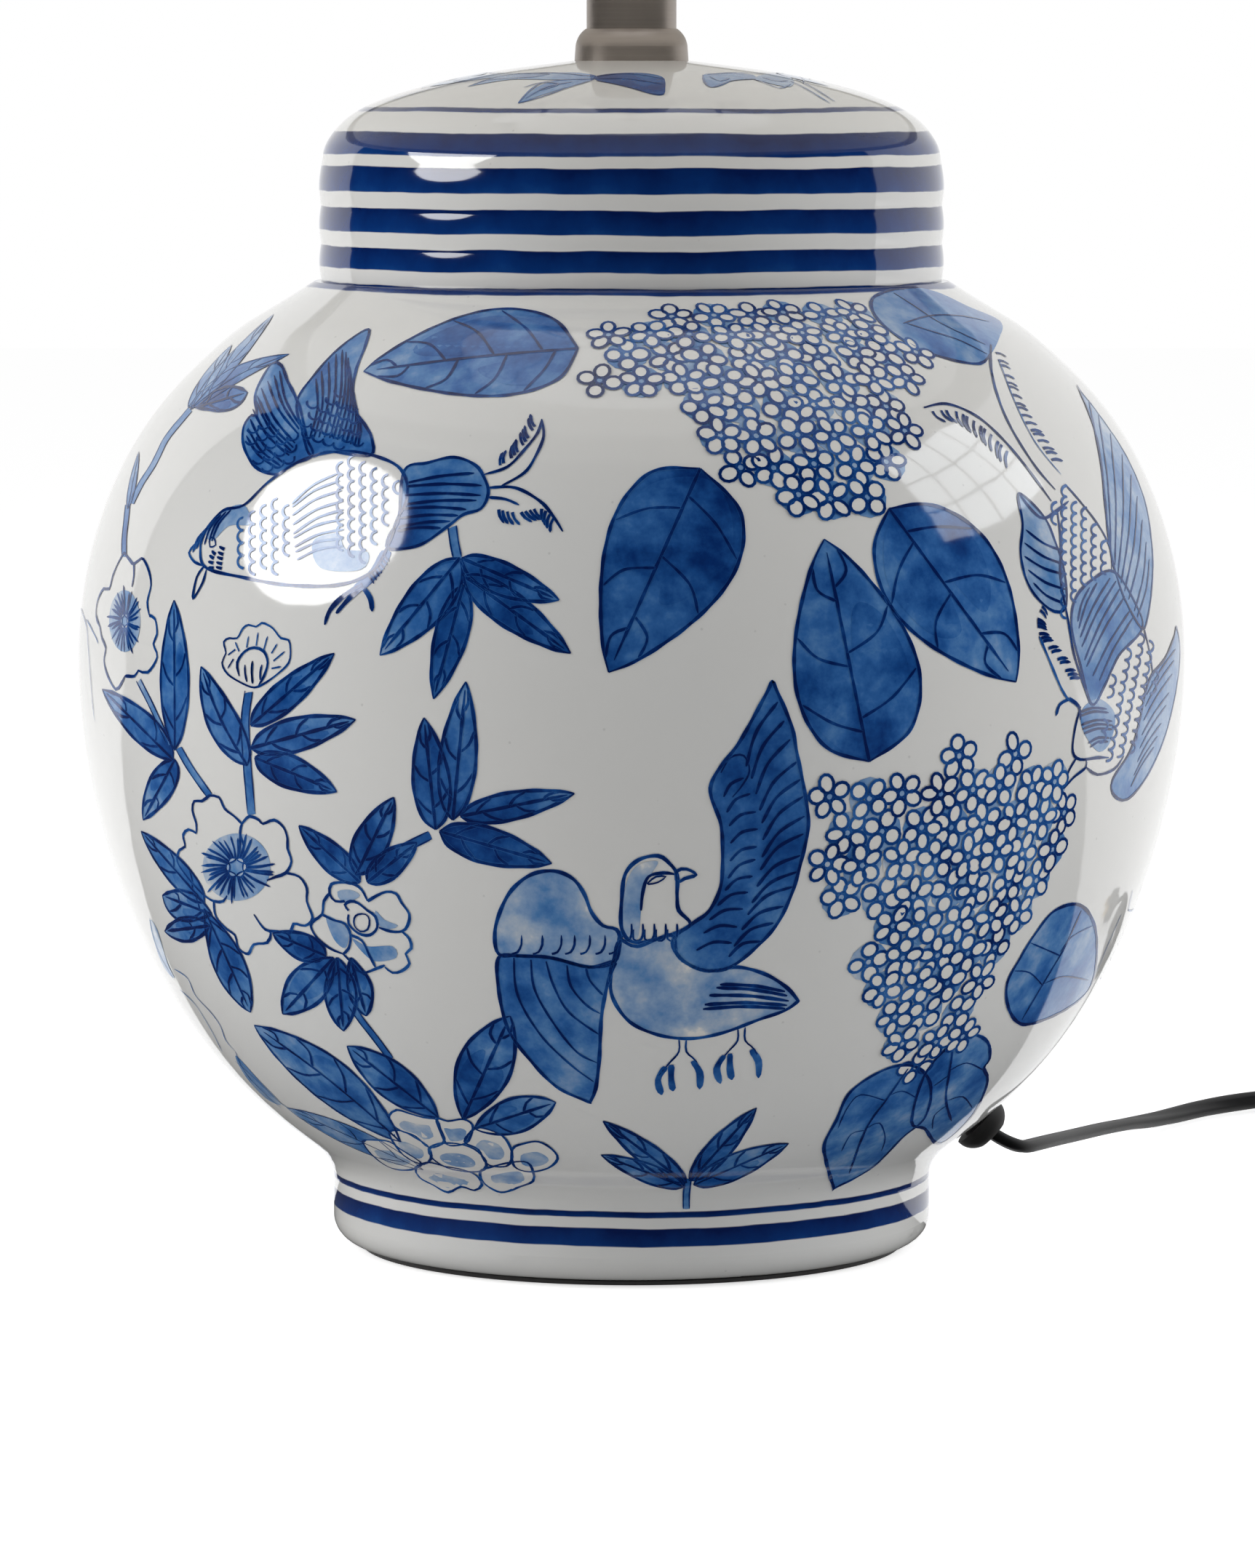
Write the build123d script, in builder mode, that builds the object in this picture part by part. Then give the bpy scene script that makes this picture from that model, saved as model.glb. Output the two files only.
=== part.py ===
# A ginger jar table lamp. The glazed jar stands on a thin pad, and its lid carries a nickel neck, a saddle
# with a harp, a socket with a turn switch, and a cone shade. A flat twin cord leaves low on the right side.
# The origin lies on the table, under the jar's axis. +X is the cord's side, -Y faces the viewer, +Z is up.
from build123d import *
from math import atan2, cos, degrees, hypot, pi, radians, sin, tan
import os

os.makedirs("parts", exist_ok=True)

# --- Driving dimensions, all in mm --------------------------------------------------------------------

# Jar, from the table up
pad_t = 1.5  # pad under the foot
pad_r = 71.5
foot_r = 78.7  # outside of the foot's upright wall
foot_round = 6.5  # rounding under the foot's outer edge
foot_ring_w = 9.0  # width of the ring that stands on the pad
foot_recess = 6.0  # how far the jar's floor stands above the foot ring
floor_hole_r = 9.0  # casting hole in the middle of the floor
waist_z = 19.0  # where the foot's wall turns out into the belly
belly_r = 145.0  # the jar's greatest radius
belly_z = 152.5
seat_z = 253.8  # the flat land that the lid stands on
jar_wall = 6.0
mouth_wall = 5.5
mouth_h = 15.0

# Shape of the belly's curve between those radii and heights, as (share of radius, share of height)
lower_belly = ((0.128, 0.082), (0.434, 0.217), (0.774, 0.487), (0.946, 0.757))
upper_belly = ((0.976, 0.212), (0.826, 0.508), (0.561, 0.745), (0.349, 0.864))

# Lid
lid_r = 81.05  # collar, in the valleys between its ribs
land_step = 1.75  # how far the jar's land stands out past the lid
lid_play = 0.85  # between the lid's inside and the jar's mouth, filled with cement on the real lamp
rib_h = 0.5  # how far each rib swells out
rib_count = 3
rib_pitch = 9.8
dome_h = 27.8  # from the top rib to the flat top
lid_wall = 5.0
crown_r = 15.4  # flat on top, under the neck
dome_shape = ((0.978, 0.25), (0.894, 0.51), (0.731, 0.71), (0.47, 0.89))  # shares of radius and of height
lid_hole_r = 5.6
under_flat_r = 21.0  # flat inside the lid's top, for the gasket

# Neck, nipple and what clamps them to the lid
nipple_r = 5.15
nipple_bore_r = 3.4
nipple_below = 13.5  # how far the nipple hangs below the lid's underside
thread_play = 0.1
thread_chamfer = 0.6  # at the thread's foot
neck_base_r = 14.85
neck_base_h = 8.3
neck_base_top_r = 11.9
neck_base_side_h = 3.8  # its nearly upright side, below the bell's shoulder
neck_base_draft = 0.25  # how far that side leans in
neck_r = 11.7
neck_wall = 1.0
neck_h = 26.5
ring_r = 12.9
ring_t = 3.0
gasket_r = 18.0
gasket_t = 2.0
washer_r = 17.0
washer_t = 1.6
nut_flats = 16.0
nut_t = 5.4

# Saddle and harp
saddle_half = 33.0  # from the axis to the inner face of each tab
saddle_t = 1.6
saddle_w = 13.0
tab_w = 6.0
tab_h = 16.0
saddle_bend = 1.6
harp_wire_r = 1.5
harp_half = 52.0  # the harp's widest, to the wire's centre
harp_h = 223.0  # from the saddle's top to the wire's centre at the top
harp_leg_h = 33.0  # upright stretch of each leg
harp_swell_h = 79.0  # height over the saddle where the sides turn upright again
harp_narrow_h = 170.0  # height over the saddle where the sides turn in
harp_top_half = 20.0
harp_bends = [60.0, 100.0, 70.0, 22.0]  # bend radii of one side, from the saddle up
sleeve_r = 5.3
sleeve_bore_r = 4.15
sleeve_h = 10.0
sleeve_chamfer = 0.6
sleeve_foot_gap = 0.3  # between the sleeve at rest and the saddle's bend
seat_hub_r = 5.0
seat_hub_h = 9.0
seat_disc_r = 8.0
seat_disc_t = 2.0
stud_r = 3.05
stud_h = 16.0
stud_chamfer = 0.7

# Socket
hub_r = 8.5
hub_h = 7.0
cap_r = 17.2
cap_cone_h = 6.5
cap_h = 24.0  # from the saddle to the cap's rim
cap_wall = 0.7
cap_flat_r = 12.0  # the flat that stands on the hub, before the cup flares
cap_bend = 3.0
shell_r = 16.35
shell_wall = 0.6
shell_top_h = 62.5  # from the saddle to the shell's top edge
shell_overlap = 3.0
shell_bead = 0.8
liner_play = 0.1
liner_wall = 0.5
liner_inset = 1.0  # from each end of the shell to the liner's end
shell_hole_play = 1.2  # round the spindle, where it passes the shell and the liner
block_r = 14.8
block_z = 15.5  # height of the switch block's underside over the saddle
block_neck_h = 10.0  # lower part of the block, with flats for the terminals
block_h = 22.0
block_flat = 11.5
screw_shell_r = 13.25  # inside radius of the lamp holder's screw shell
screw_shell_wall = 0.4
screw_shell_h = 21.0
contact_half_w = 2.45
contact_foot = 5.25  # from the axis to the tongue's fixed end
contact_loop = 4.55  # from the axis to its bend, and to its free end
contact_crest = 1.75  # from the axis to its highest point
contact_rise = 3.0
contact_dip = 0.6  # from the highest point to the free end
contact_bend = 0.6
contact_t = 0.5
terminal_r = 3.2
terminal_t = 1.6
terminal_shank_r = 1.7
terminal_shank_l = 6.9
set_screw_r = 1.6
set_screw_reach = 5.6
set_screw_slot = 0.6
set_screw_slot_deep = 0.8
spindle_r = 2.0
spindle_h = 31.5  # height of the spindle over the saddle
spindle_in = 6.0  # from the axis to the spindle's inner end
spindle_out = 27.0
spindle_play = 0.05
spindle_end_gap = 0.2  # between the spindle's inner end and the block
knob_r = 5.2
knob_l = 12.0
knob_gap = 2.2  # from the shell to the knob
knob_flutes = 12
knob_flute_r = 0.7
knob_flute_out = 0.25  # how far outside the knob's edge each flute is centred
knob_bore_play = 0.03
knob_bore_gap = 0.3  # between the spindle's outer end and the bore's end
knob_taper = 3.0  # degrees

# Shade
shade_h = 253.0
shade_drop = 18.0  # from the shade's top edge down to its centre washer
shade_bottom_r = 203.0
shade_top_r = 178.0
shade_wall = 0.8
trim_w = 9.0
trim_t = 0.5
ring_wire_r = 1.6
ring_play = 0.1
arm_r = 1.4
arm_flat = 120.0  # where the arms start to rise to the ring
arm_bend = 40.0
arm_azimuths = (90, 210, 330)
washer_hole_r = 3.35
fitter_washer_r = 11.5
arm_start_r = 8.6  # where the arms begin, on top of the washer
fitter_washer_t = 1.6
turn_gap = 0.1  # between the seat, the shade's washer and the finial

# Finial
finial_base_r = 7.0
finial_stem_r = 4.8
finial_ball_r = 9.6
finial_tip_r = 3.0
finial_hole_r = 3.2
finial_base_t = 1.6
finial_cove_h = 2.6  # from the base's edge up to the stem
finial_ball_h = 13.2  # from the finial's foot to the middle of its ball
finial_hole_gap = 1.0  # over the stud's end

# Grommet
grommet_share = 0.0678  # its place along the belly's outline, as a share of that outline
grommet_stand = 1.2  # from the glaze to the centre of the flange's back, which touches at its upper edge
grommet_lean = 8.4  # degrees that the cord pulls it up from square to the glaze
grommet_edge = 0.5  # height of the flange's upright edge
grommet_r = 7.6
grommet_dome = 6.2
grommet_neck_r = 4.8
grommet_hole_play = 0.2
grommet_neck_l = 9.2  # from the flange's back to the inner lip
grommet_lip_r = 6.4
grommet_lip_t = 2.0
grommet_mouth_r = 4.9  # the bore just past the dome's tip
grommet_straight = 5.0  # the cord runs straight for this far past the flange's back
cord_play = 0.1

# Twin cord
cord_d = 5.2
cord_r = cord_d / 2
cord_gap = 0.45  # between the coil's turns and layers
coil_out_r = 41.0  # centreline radius of the coil's outermost turn
coil_turns_in = 3.435  # turns of the lower layer, wound inwards
coil_centre = (243.5, 234.0)
coil_start_angle = 133.0  # degrees round the coil's centre where the cord joins it
coil_lead_in = 22.0  # straight run that comes up to the coil
coil_lift = 0.7  # the tie passes under the coil
tail_flat = 11.0  # run on top of the coil before the tail drops
tail_down = 12.0  # run in which it comes down to the plug's height
tail_out = 11.0  # run from there to the plug
tie_w = 6.0
tie_t = 0.5
tie_play = 0.15
tie_round_r = 1.5  # inside its corners
tie_angle = -60.0

# Lead inside the jar and its two conductors in the socket
lead_in_straight = 12.0  # straight run past the grommet's inner lip
lead_up_straight = 22.0  # straight run below the nipple
lead_stands_out = 1.0  # above the nipple
wire_r = 0.9
wire_spread = 1.3  # each conductor's middle from the lead's axis
wire_split_gap = 0.1  # from the lead's end to where its conductors show
wire_split_l = 2.5  # upright run before they part
wire_foot_drop = 3.0  # from the switch block down to their turn
wire_bend = 1.4
wire_side_gap = 0.2
wire_end_gap = 0.3

# Plug
plug_w = 25.0
plug_t = 13.0
plug_l = 25.0
plug_corner_r = 4.0
plug_end_round = 1.5
plug_neck_l = 17.0
plug_neck_r = 3.6
plug_root_w = 15.5  # the neck's section where it meets the body
plug_root_t = 11.2
plug_root_corner_r = 3.5
blade_w = 6.35
blade_t = 1.5
blade_l = 16.5
blade_pitch = 12.7
blade_hole_r = 1.6
blade_hole_in = 4.5  # from the tip to the hole's centre


# --- Sizes that follow from those -----------------------------------------------------------------------

shoulder_r = lid_r + land_step  # outer edge of the land
mouth_r = lid_r - lid_wall - lid_play  # outside of the jar's upright collar, inside the lid

# --- Helpers -------------------------------------------------------------------------------------------


def moved_in(curve, amount, shares):
    """Points beside a curve, on its left-hand side seen along it."""
    points = []
    for share in shares:
        along = curve % share
        points.append(curve @ share + Vector(-along.Y, along.X) * amount)
    return points


def corner_radii(points):
    """The largest tangent arc that each corner's two runs allow."""
    radii = []
    for before, corner, after in zip(points, points[1:], points[2:]):
        run_in = Vector(*corner) - Vector(*before)
        run_out = Vector(*after) - Vector(*corner)
        half_turn = radians(run_in.get_angle(run_out)) / 2
        radii.append(0.45 * min(run_in.length, run_out.length) / tan(half_turn))
    return radii


def finish(piece, name):
    """Name a piece and write its file."""
    piece.part.label = name
    export_step(piece.part, f"parts/{name}.step")


# --- Jar -----------------------------------------------------------------------------------------------

lower_points = [
    (foot_r + (belly_r - foot_r) * across, waist_z + (belly_z - waist_z) * up) for across, up in lower_belly
]
upper_points = [
    (shoulder_r + (belly_r - shoulder_r) * across, belly_z + (seat_z - belly_z) * up)
    for across, up in upper_belly
]
floor_z = pad_t + foot_recess
inner_floor_z = floor_z + jar_wall
shares_inside = (0.09, 0.2, 0.35, 0.5, 0.65, 0.8, 0.97)

with BuildPart() as jar_body:
    with BuildSketch(Plane.XZ) as jar_section:
        with BuildLine():
            under = Line((0, floor_z), (foot_r - foot_round - foot_ring_w, floor_z))
            ring_in = Line(under @ 1, (foot_r - foot_round - foot_ring_w, pad_t))
            ring_foot = Line(ring_in @ 1, (foot_r - foot_round, pad_t))
            rounding = RadiusArc(ring_foot @ 1, (foot_r, pad_t + foot_round), -foot_round)
            foot_wall = Line(rounding @ 1, (foot_r, waist_z))
            belly = Spline(
                foot_wall @ 1,
                *lower_points,
                (belly_r, belly_z),
                *upper_points,
                (shoulder_r, seat_z),
                tangents=((0.15, 1), (-1.6, 1)),
            )
            land = Line(belly @ 1, (mouth_r, seat_z))
            collar = Line(land @ 1, (mouth_r, seat_z + mouth_h))
            collar_top = Line(collar @ 1, (0, seat_z + mouth_h))
            Line(collar_top @ 1, under @ 0)
        make_face()
        with BuildLine():
            inside_floor = Line((0, inner_floor_z), (foot_r - jar_wall - foot_round, inner_floor_z))
            inside = Spline(
                inside_floor @ 1,
                *moved_in(belly, jar_wall, shares_inside),
                (mouth_r - mouth_wall, seat_z),
                tangents=((1, 0.4), (-0.3, 1)),
            )
            Line(inside @ 1, (mouth_r - mouth_wall, seat_z + mouth_h))
            Line((mouth_r - mouth_wall, seat_z + mouth_h), (0, seat_z + mouth_h))
            Line((0, seat_z + mouth_h), inside_floor @ 0)
        make_face(mode=Mode.SUBTRACT)
    revolve(axis=Axis.Z)
    with Locations((0, 0, floor_z)):
        Cylinder(floor_hole_r, 4 * jar_wall, mode=Mode.SUBTRACT)
    # The cord's hole, square to the flange of the grommet
    belly_spot = belly @ grommet_share
    belly_run = belly % grommet_share
    glaze_tilt = atan2(belly_run.X, belly_run.Y)  # how far the glaze faces down there
    grommet_tilt = glaze_tilt - radians(grommet_lean)
    grommet_plane = Plane(
        origin=(
            belly_spot.X + grommet_stand * cos(glaze_tilt),
            0,
            belly_spot.Y - grommet_stand * sin(glaze_tilt),
        ),
        x_dir=(0, 1, 0),
        z_dir=(cos(grommet_tilt), 0, -sin(grommet_tilt)),
    )
    with BuildSketch(grommet_plane):
        Circle(grommet_neck_r + grommet_hole_play)
    extrude(amount=-3 * jar_wall, mode=Mode.SUBTRACT)
finish(jar_body, "jar_body")
print("grommet at", grommet_plane.origin, "tilt", round(degrees(grommet_tilt), 2))

with BuildPart() as foot_pad:
    Cylinder(pad_r, pad_t, align=(Align.CENTER, Align.CENTER, Align.MIN))
finish(foot_pad, "foot_pad")

# --- Lid -----------------------------------------------------------------------------------------------

collar_top_z = seat_z + rib_count * rib_pitch
lid_top_z = collar_top_z + dome_h
dome_points = [(lid_r * across, collar_top_z + dome_h * up) for across, up in dome_shape]
under_lid_z = lid_top_z - lid_wall

with BuildPart() as jar_lid:
    with BuildSketch(Plane.XZ):
        with BuildLine():
            for rib in range(rib_count):
                low = seat_z + rib * rib_pitch
                ThreePointArc((lid_r, low), (lid_r + rib_h, low + rib_pitch / 2), (lid_r, low + rib_pitch))
            dome = Spline(
                (lid_r, collar_top_z), *dome_points, (crown_r, lid_top_z), tangents=((0, 1), (-1, 0.03))
            )
            crown = Line(dome @ 1, (0, lid_top_z))
            axis_line = Line(crown @ 1, (0, under_lid_z))
            flat = Line(axis_line @ 1, (under_flat_r, under_lid_z))
            inner_dome = Spline(
                flat @ 1,
                *reversed(moved_in(dome, lid_wall, (0.12, 0.25, 0.45, 0.6))),
                (lid_r - lid_wall, collar_top_z),
                tangents=((1, -0.02), (0, -1)),
            )
            inner_wall = Line(inner_dome @ 1, (lid_r - lid_wall, seat_z))
            Line(inner_wall @ 1, (lid_r, seat_z))
        make_face()
    revolve(axis=Axis.Z)
    with Locations((0, 0, lid_top_z)):
        Cylinder(lid_hole_r, 4 * lid_wall, mode=Mode.SUBTRACT)
finish(jar_lid, "jar_lid")

# --- Nipple and what clamps it -------------------------------------------------------------------------

gasket_z = under_lid_z - gasket_t
washer_z = gasket_z - washer_t
nut_z = washer_z - nut_t
neck_z = lid_top_z + neck_base_h
ring_z = neck_z + neck_h
saddle_z = ring_z + ring_t
saddle_top = saddle_z + saddle_t
nipple_top = saddle_top + hub_h
thread_r = nipple_r + thread_play

with BuildPart() as lamp_nipple:
    with BuildSketch(Plane.XY.offset(under_lid_z - nipple_below)):
        Circle(nipple_r)
        Circle(nipple_bore_r, mode=Mode.SUBTRACT)
    extrude(amount=nipple_top - under_lid_z + nipple_below)
    foot_edges = lamp_nipple.edges().filter_by(GeomType.CIRCLE).group_by(Axis.Z)[0]
    chamfer(foot_edges.sort_by(SortBy.RADIUS)[-1], thread_chamfer)
finish(lamp_nipple, "lamp_nipple")

with BuildPart() as nipple_gasket:
    with BuildSketch(Plane.XY.offset(gasket_z)):
        Circle(gasket_r)
        Circle(thread_r, mode=Mode.SUBTRACT)
    extrude(amount=gasket_t)
finish(nipple_gasket, "nipple_gasket")

with BuildPart() as nipple_washer:
    with BuildSketch(Plane.XY.offset(washer_z)):
        Circle(washer_r)
        Circle(thread_r, mode=Mode.SUBTRACT)
    extrude(amount=washer_t)
finish(nipple_washer, "nipple_washer")

with BuildPart() as nipple_nut:
    with BuildSketch(Plane.XY.offset(nut_z)):
        RegularPolygon(nut_flats / 2, 6, major_radius=False)
        Circle(thread_r, mode=Mode.SUBTRACT)
    extrude(amount=nut_t)
finish(nipple_nut, "nipple_nut")

with BuildPart() as neck_base:
    with BuildSketch(Plane.XZ):
        with BuildLine():
            bottom = Line((thread_r, lid_top_z), (neck_base_r, lid_top_z))
            upright = Line(bottom @ 1, (neck_base_r - neck_base_draft, lid_top_z + neck_base_side_h))
            shoulder = RadiusArc(upright @ 1, (neck_base_top_r, neck_z), -0.75 * neck_base_h)
            top = Line(shoulder @ 1, (thread_r, neck_z))
            Line(top @ 1, bottom @ 0)
        make_face()
    revolve(axis=Axis.Z)
finish(neck_base, "neck_base")

with BuildPart() as neck_tube:
    with BuildSketch(Plane.XY.offset(neck_z)):
        Circle(neck_r)
        Circle(neck_r - neck_wall, mode=Mode.SUBTRACT)
    extrude(amount=neck_h)
finish(neck_tube, "neck_tube")

with BuildPart() as neck_check_ring:
    with BuildSketch(Plane.XY.offset(ring_z)):
        Circle(ring_r)
        Circle(thread_r, mode=Mode.SUBTRACT)
    extrude(amount=ring_t)
    fillet(neck_check_ring.edges().filter_by(GeomType.CIRCLE).sort_by(SortBy.RADIUS)[-2:], ring_t * 0.3)
finish(neck_check_ring, "neck_check_ring")

# --- Saddle, harp and sleeves --------------------------------------------------------------------------

tab_outer = saddle_half + saddle_t

with BuildPart() as harp_saddle:
    with BuildSketch(Plane.XZ):
        with BuildLine():
            strap = FilletPolyline(
                (-saddle_half, saddle_top + tab_h),
                (-saddle_half, saddle_top),
                (saddle_half, saddle_top),
                (saddle_half, saddle_top + tab_h),
                radius=saddle_bend,
            )
            offset(amount=saddle_t, side=Side.RIGHT)
        make_face()
    extrude(amount=saddle_w / 2, both=True)
    # Each tab is narrower than the strap between them
    with BuildSketch(Plane.YZ):
        with Locations((0, saddle_top + saddle_bend)):
            with Locations((tab_w / 2, 0)):
                Rectangle(saddle_w, 2 * tab_h, align=(Align.MIN, Align.MIN))
            with Locations((-tab_w / 2, 0)):
                Rectangle(saddle_w, 2 * tab_h, align=(Align.MAX, Align.MIN))
    extrude(amount=2 * saddle_half, both=True, mode=Mode.SUBTRACT)
    with Locations((0, 0, saddle_z)):
        Cylinder(thread_r, 4 * saddle_t, mode=Mode.SUBTRACT)
finish(harp_saddle, "harp_saddle")

leg_x = tab_outer + thread_play + harp_wire_r
harp_top = saddle_top + harp_h
harp_side = [
    (leg_x, saddle_top + saddle_bend),
    (leg_x, saddle_top + harp_leg_h),
    (harp_half, saddle_top + harp_swell_h),
    (harp_half, saddle_top + harp_narrow_h),
    (harp_top_half, harp_top),
]
harp_route = [(-x, 0, z) for x, z in harp_side] + [(x, 0, z) for x, z in reversed(harp_side)]
harp_radii = harp_bends + harp_bends[::-1]

with BuildPart() as harp_bow:
    with BuildLine() as harp_line:
        FilletPolyline(*harp_route, radius=harp_radii)
    with BuildSketch(Plane(origin=harp_route[0], z_dir=(0, 0, 1))):
        Circle(harp_wire_r)
    sweep(path=harp_line.wire())
finish(harp_bow, "harp_bow")

seat_top = harp_top - seat_hub_h / 2 + seat_hub_h + seat_disc_t
stud_top = seat_top + stud_h

with BuildPart() as harp_seat:
    with BuildSketch(Plane.XY.offset(harp_top - seat_hub_h / 2)):
        Circle(seat_hub_r)
    extrude(amount=seat_hub_h)
    with BuildSketch(Plane.XY.offset(seat_top - seat_disc_t)):
        Circle(seat_disc_r)
    extrude(amount=seat_disc_t)
    with BuildSketch(Plane.XY.offset(seat_top)):
        Circle(stud_r)
    extrude(amount=stud_h)
    chamfer(harp_seat.edges().group_by(Axis.Z)[-1], stud_chamfer)
    # The wire runs through the hub
    with BuildSketch(Plane.YZ):
        with Locations((0, harp_top)):
            Circle(harp_wire_r + thread_play)
    extrude(amount=2 * seat_hub_r, both=True, mode=Mode.SUBTRACT)
finish(harp_seat, "harp_seat")

sleeve_x = (saddle_half + leg_x + harp_wire_r) / 2
sleeve_z = saddle_top + saddle_bend + sleeve_foot_gap

for side, name in ((-1, "harp_sleeve_left"), (1, "harp_sleeve_right")):
    with BuildPart() as harp_sleeve:
        with BuildSketch(Plane.XY.offset(sleeve_z)):
            with Locations((side * sleeve_x, 0)):
                Circle(sleeve_r)
                Circle(sleeve_bore_r, mode=Mode.SUBTRACT)
        extrude(amount=sleeve_h)
        chamfer(harp_sleeve.edges().group_by(Axis.Z)[-1].sort_by(SortBy.RADIUS)[-1], sleeve_chamfer)
    finish(harp_sleeve, name)

# --- Socket --------------------------------------------------------------------------------------------

cap_shoulder_z = saddle_top + hub_h + cap_cone_h
cap_rim_z = saddle_top + cap_h
shell_foot_z = cap_rim_z - shell_overlap
shell_top_z = saddle_top + shell_top_h
block_foot_z = saddle_top + block_z
block_top_z = block_foot_z + block_h
spindle_z = saddle_top + spindle_h
liner_r = shell_r - shell_wall - liner_play
terminal_z = block_foot_z + block_neck_h / 2

with BuildPart() as socket_cap:
    with BuildSketch(Plane.XY.offset(saddle_top)):
        Circle(hub_r)
    extrude(amount=hub_h)
    # The spun cup stands on the hub
    with BuildSketch(Plane.XZ):
        with BuildLine():
            cup = FilletPolyline(
                (0, saddle_top + hub_h - cap_wall),
                (cap_flat_r, saddle_top + hub_h - cap_wall),
                (cap_r, cap_shoulder_z),
                (cap_r, cap_rim_z),
                radius=cap_bend,
            )
            offset(amount=cap_wall, side=Side.LEFT)
        make_face()
    revolve(axis=Axis.Z)
    with Locations((0, 0, saddle_top)):
        Cylinder(thread_r, 4 * hub_h, mode=Mode.SUBTRACT)
    with BuildSketch(Plane.YZ):
        with Locations((0, saddle_top + hub_h / 2)):
            Circle(set_screw_r + thread_play)
    extrude(amount=2 * hub_r, mode=Mode.SUBTRACT)
finish(socket_cap, "socket_cap")

with BuildPart() as cap_screw:
    with BuildSketch(Plane.YZ.offset(thread_r + thread_play)):
        with Locations((0, saddle_top + hub_h / 2)):
            Circle(set_screw_r)
    extrude(amount=set_screw_reach)
    with BuildSketch(Plane.YZ.offset(thread_r + thread_play + set_screw_reach)):
        with Locations((0, saddle_top + hub_h / 2)):
            Rectangle(set_screw_slot, 2 * set_screw_r)
    extrude(amount=-set_screw_slot_deep, mode=Mode.SUBTRACT)
finish(cap_screw, "cap_screw")

with BuildPart() as socket_body:
    with BuildSketch(Plane.XY.offset(block_foot_z)):
        Circle(block_r)
        Rectangle(2 * block_flat, 2 * block_r, mode=Mode.INTERSECT)
    extrude(amount=block_neck_h)
    with BuildSketch(Plane.XY.offset(block_foot_z + block_neck_h)):
        Circle(block_r)
    extrude(amount=block_h - block_neck_h)
    # The spindle's bearing
    with BuildSketch(Plane.XZ.offset(spindle_in)):
        with Locations((0, spindle_z)):
            Circle(spindle_r + spindle_play)
    extrude(amount=block_r, mode=Mode.SUBTRACT)
    # The terminal screws' holes
    with BuildSketch(Plane.YZ):
        with Locations((0, terminal_z)):
            Circle(terminal_shank_r + thread_play)
    extrude(amount=block_r, both=True, mode=Mode.SUBTRACT)
finish(socket_body, "socket_body")

with BuildPart() as terminal_screws:
    for side in (-1, 1):
        with BuildSketch(Plane.YZ.offset(side * block_flat)):
            with Locations((0, terminal_z)):
                Circle(terminal_r)
        extrude(amount=side * terminal_t)
        with BuildSketch(Plane.YZ.offset(side * block_flat)):
            with Locations((0, terminal_z)):
                Circle(terminal_shank_r)
        extrude(amount=-side * terminal_shank_l)
finish(terminal_screws, "terminal_screws")

with BuildPart() as socket_shell:
    with BuildSketch(Plane.XZ):
        with BuildLine():
            outside = Line((shell_r, shell_foot_z), (shell_r, shell_top_z - 4 * shell_bead))
            bead = ThreePointArc(
                outside @ 1,
                (shell_r + shell_bead, shell_top_z - 2 * shell_bead),
                (shell_r, shell_top_z),
            )
            Polyline(
                bead @ 1,
                (shell_r - shell_wall, shell_top_z),
                (shell_r - shell_wall, shell_foot_z),
                outside @ 0,
            )
        make_face()
    revolve(axis=Axis.Z)
    with BuildSketch(Plane.XZ):
        with Locations((0, spindle_z)):
            Circle(spindle_r + shell_hole_play)
    extrude(amount=2 * shell_r, mode=Mode.SUBTRACT)
finish(socket_shell, "socket_shell")

with BuildPart() as socket_liner:
    with BuildSketch(Plane.XY.offset(shell_foot_z + liner_inset)):
        Circle(liner_r)
        Circle(liner_r - liner_wall, mode=Mode.SUBTRACT)
    extrude(amount=shell_top_z - shell_foot_z - 2 * liner_inset)
    with BuildSketch(Plane.XZ):
        with Locations((0, spindle_z)):
            Circle(spindle_r + shell_hole_play)
    extrude(amount=2 * shell_r, mode=Mode.SUBTRACT)
finish(socket_liner, "socket_liner")

with BuildPart() as screw_shell:
    with BuildSketch(Plane.XY.offset(block_top_z)):
        Circle(screw_shell_r + screw_shell_wall)
        Circle(screw_shell_r, mode=Mode.SUBTRACT)
    extrude(amount=screw_shell_h)
finish(screw_shell, "screw_shell")

with BuildPart() as centre_contact:
    with BuildSketch(Plane.XZ):
        with BuildLine():
            tongue = FilletPolyline(
                (contact_foot, block_top_z),
                (-contact_loop, block_top_z),
                (contact_crest, block_top_z + contact_rise),
                (contact_loop, block_top_z + contact_rise - contact_dip),
                radius=contact_bend,
            )
            offset(amount=contact_t, side=Side.RIGHT)
        make_face()
    extrude(amount=contact_half_w, both=True)
finish(centre_contact, "centre_contact")

with BuildPart() as switch_spindle:
    with BuildSketch(Plane.XZ.offset(spindle_in + spindle_end_gap)):
        with Locations((0, spindle_z)):
            Circle(spindle_r)
    extrude(amount=spindle_out - spindle_in)
finish(switch_spindle, "switch_spindle")

knob_y = shell_r + knob_gap

with BuildPart() as switch_knob:
    with BuildSketch(Plane.XZ.offset(knob_y)):
        with Locations((0, spindle_z)):
            Circle(knob_r)
            with PolarLocations(knob_r + knob_flute_out, knob_flutes):
                Circle(knob_flute_r, mode=Mode.SUBTRACT)
    extrude(amount=knob_l, taper=knob_taper)
    with BuildSketch(Plane.XZ.offset(knob_y)):
        with Locations((0, spindle_z)):
            Circle(spindle_r + knob_bore_play)
    extrude(amount=spindle_out + knob_bore_gap - knob_y, mode=Mode.SUBTRACT)
finish(switch_knob, "switch_knob")

# --- Shade ---------------------------------------------------------------------------------------------

fitter_z = seat_top + turn_gap  # underside of the shade's centre washer
shade_top_z = fitter_z + shade_drop
shade_bottom_z = shade_top_z - shade_h
slope = (shade_bottom_r - shade_top_r) / shade_h  # how much the radius shrinks for each mm up


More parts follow.
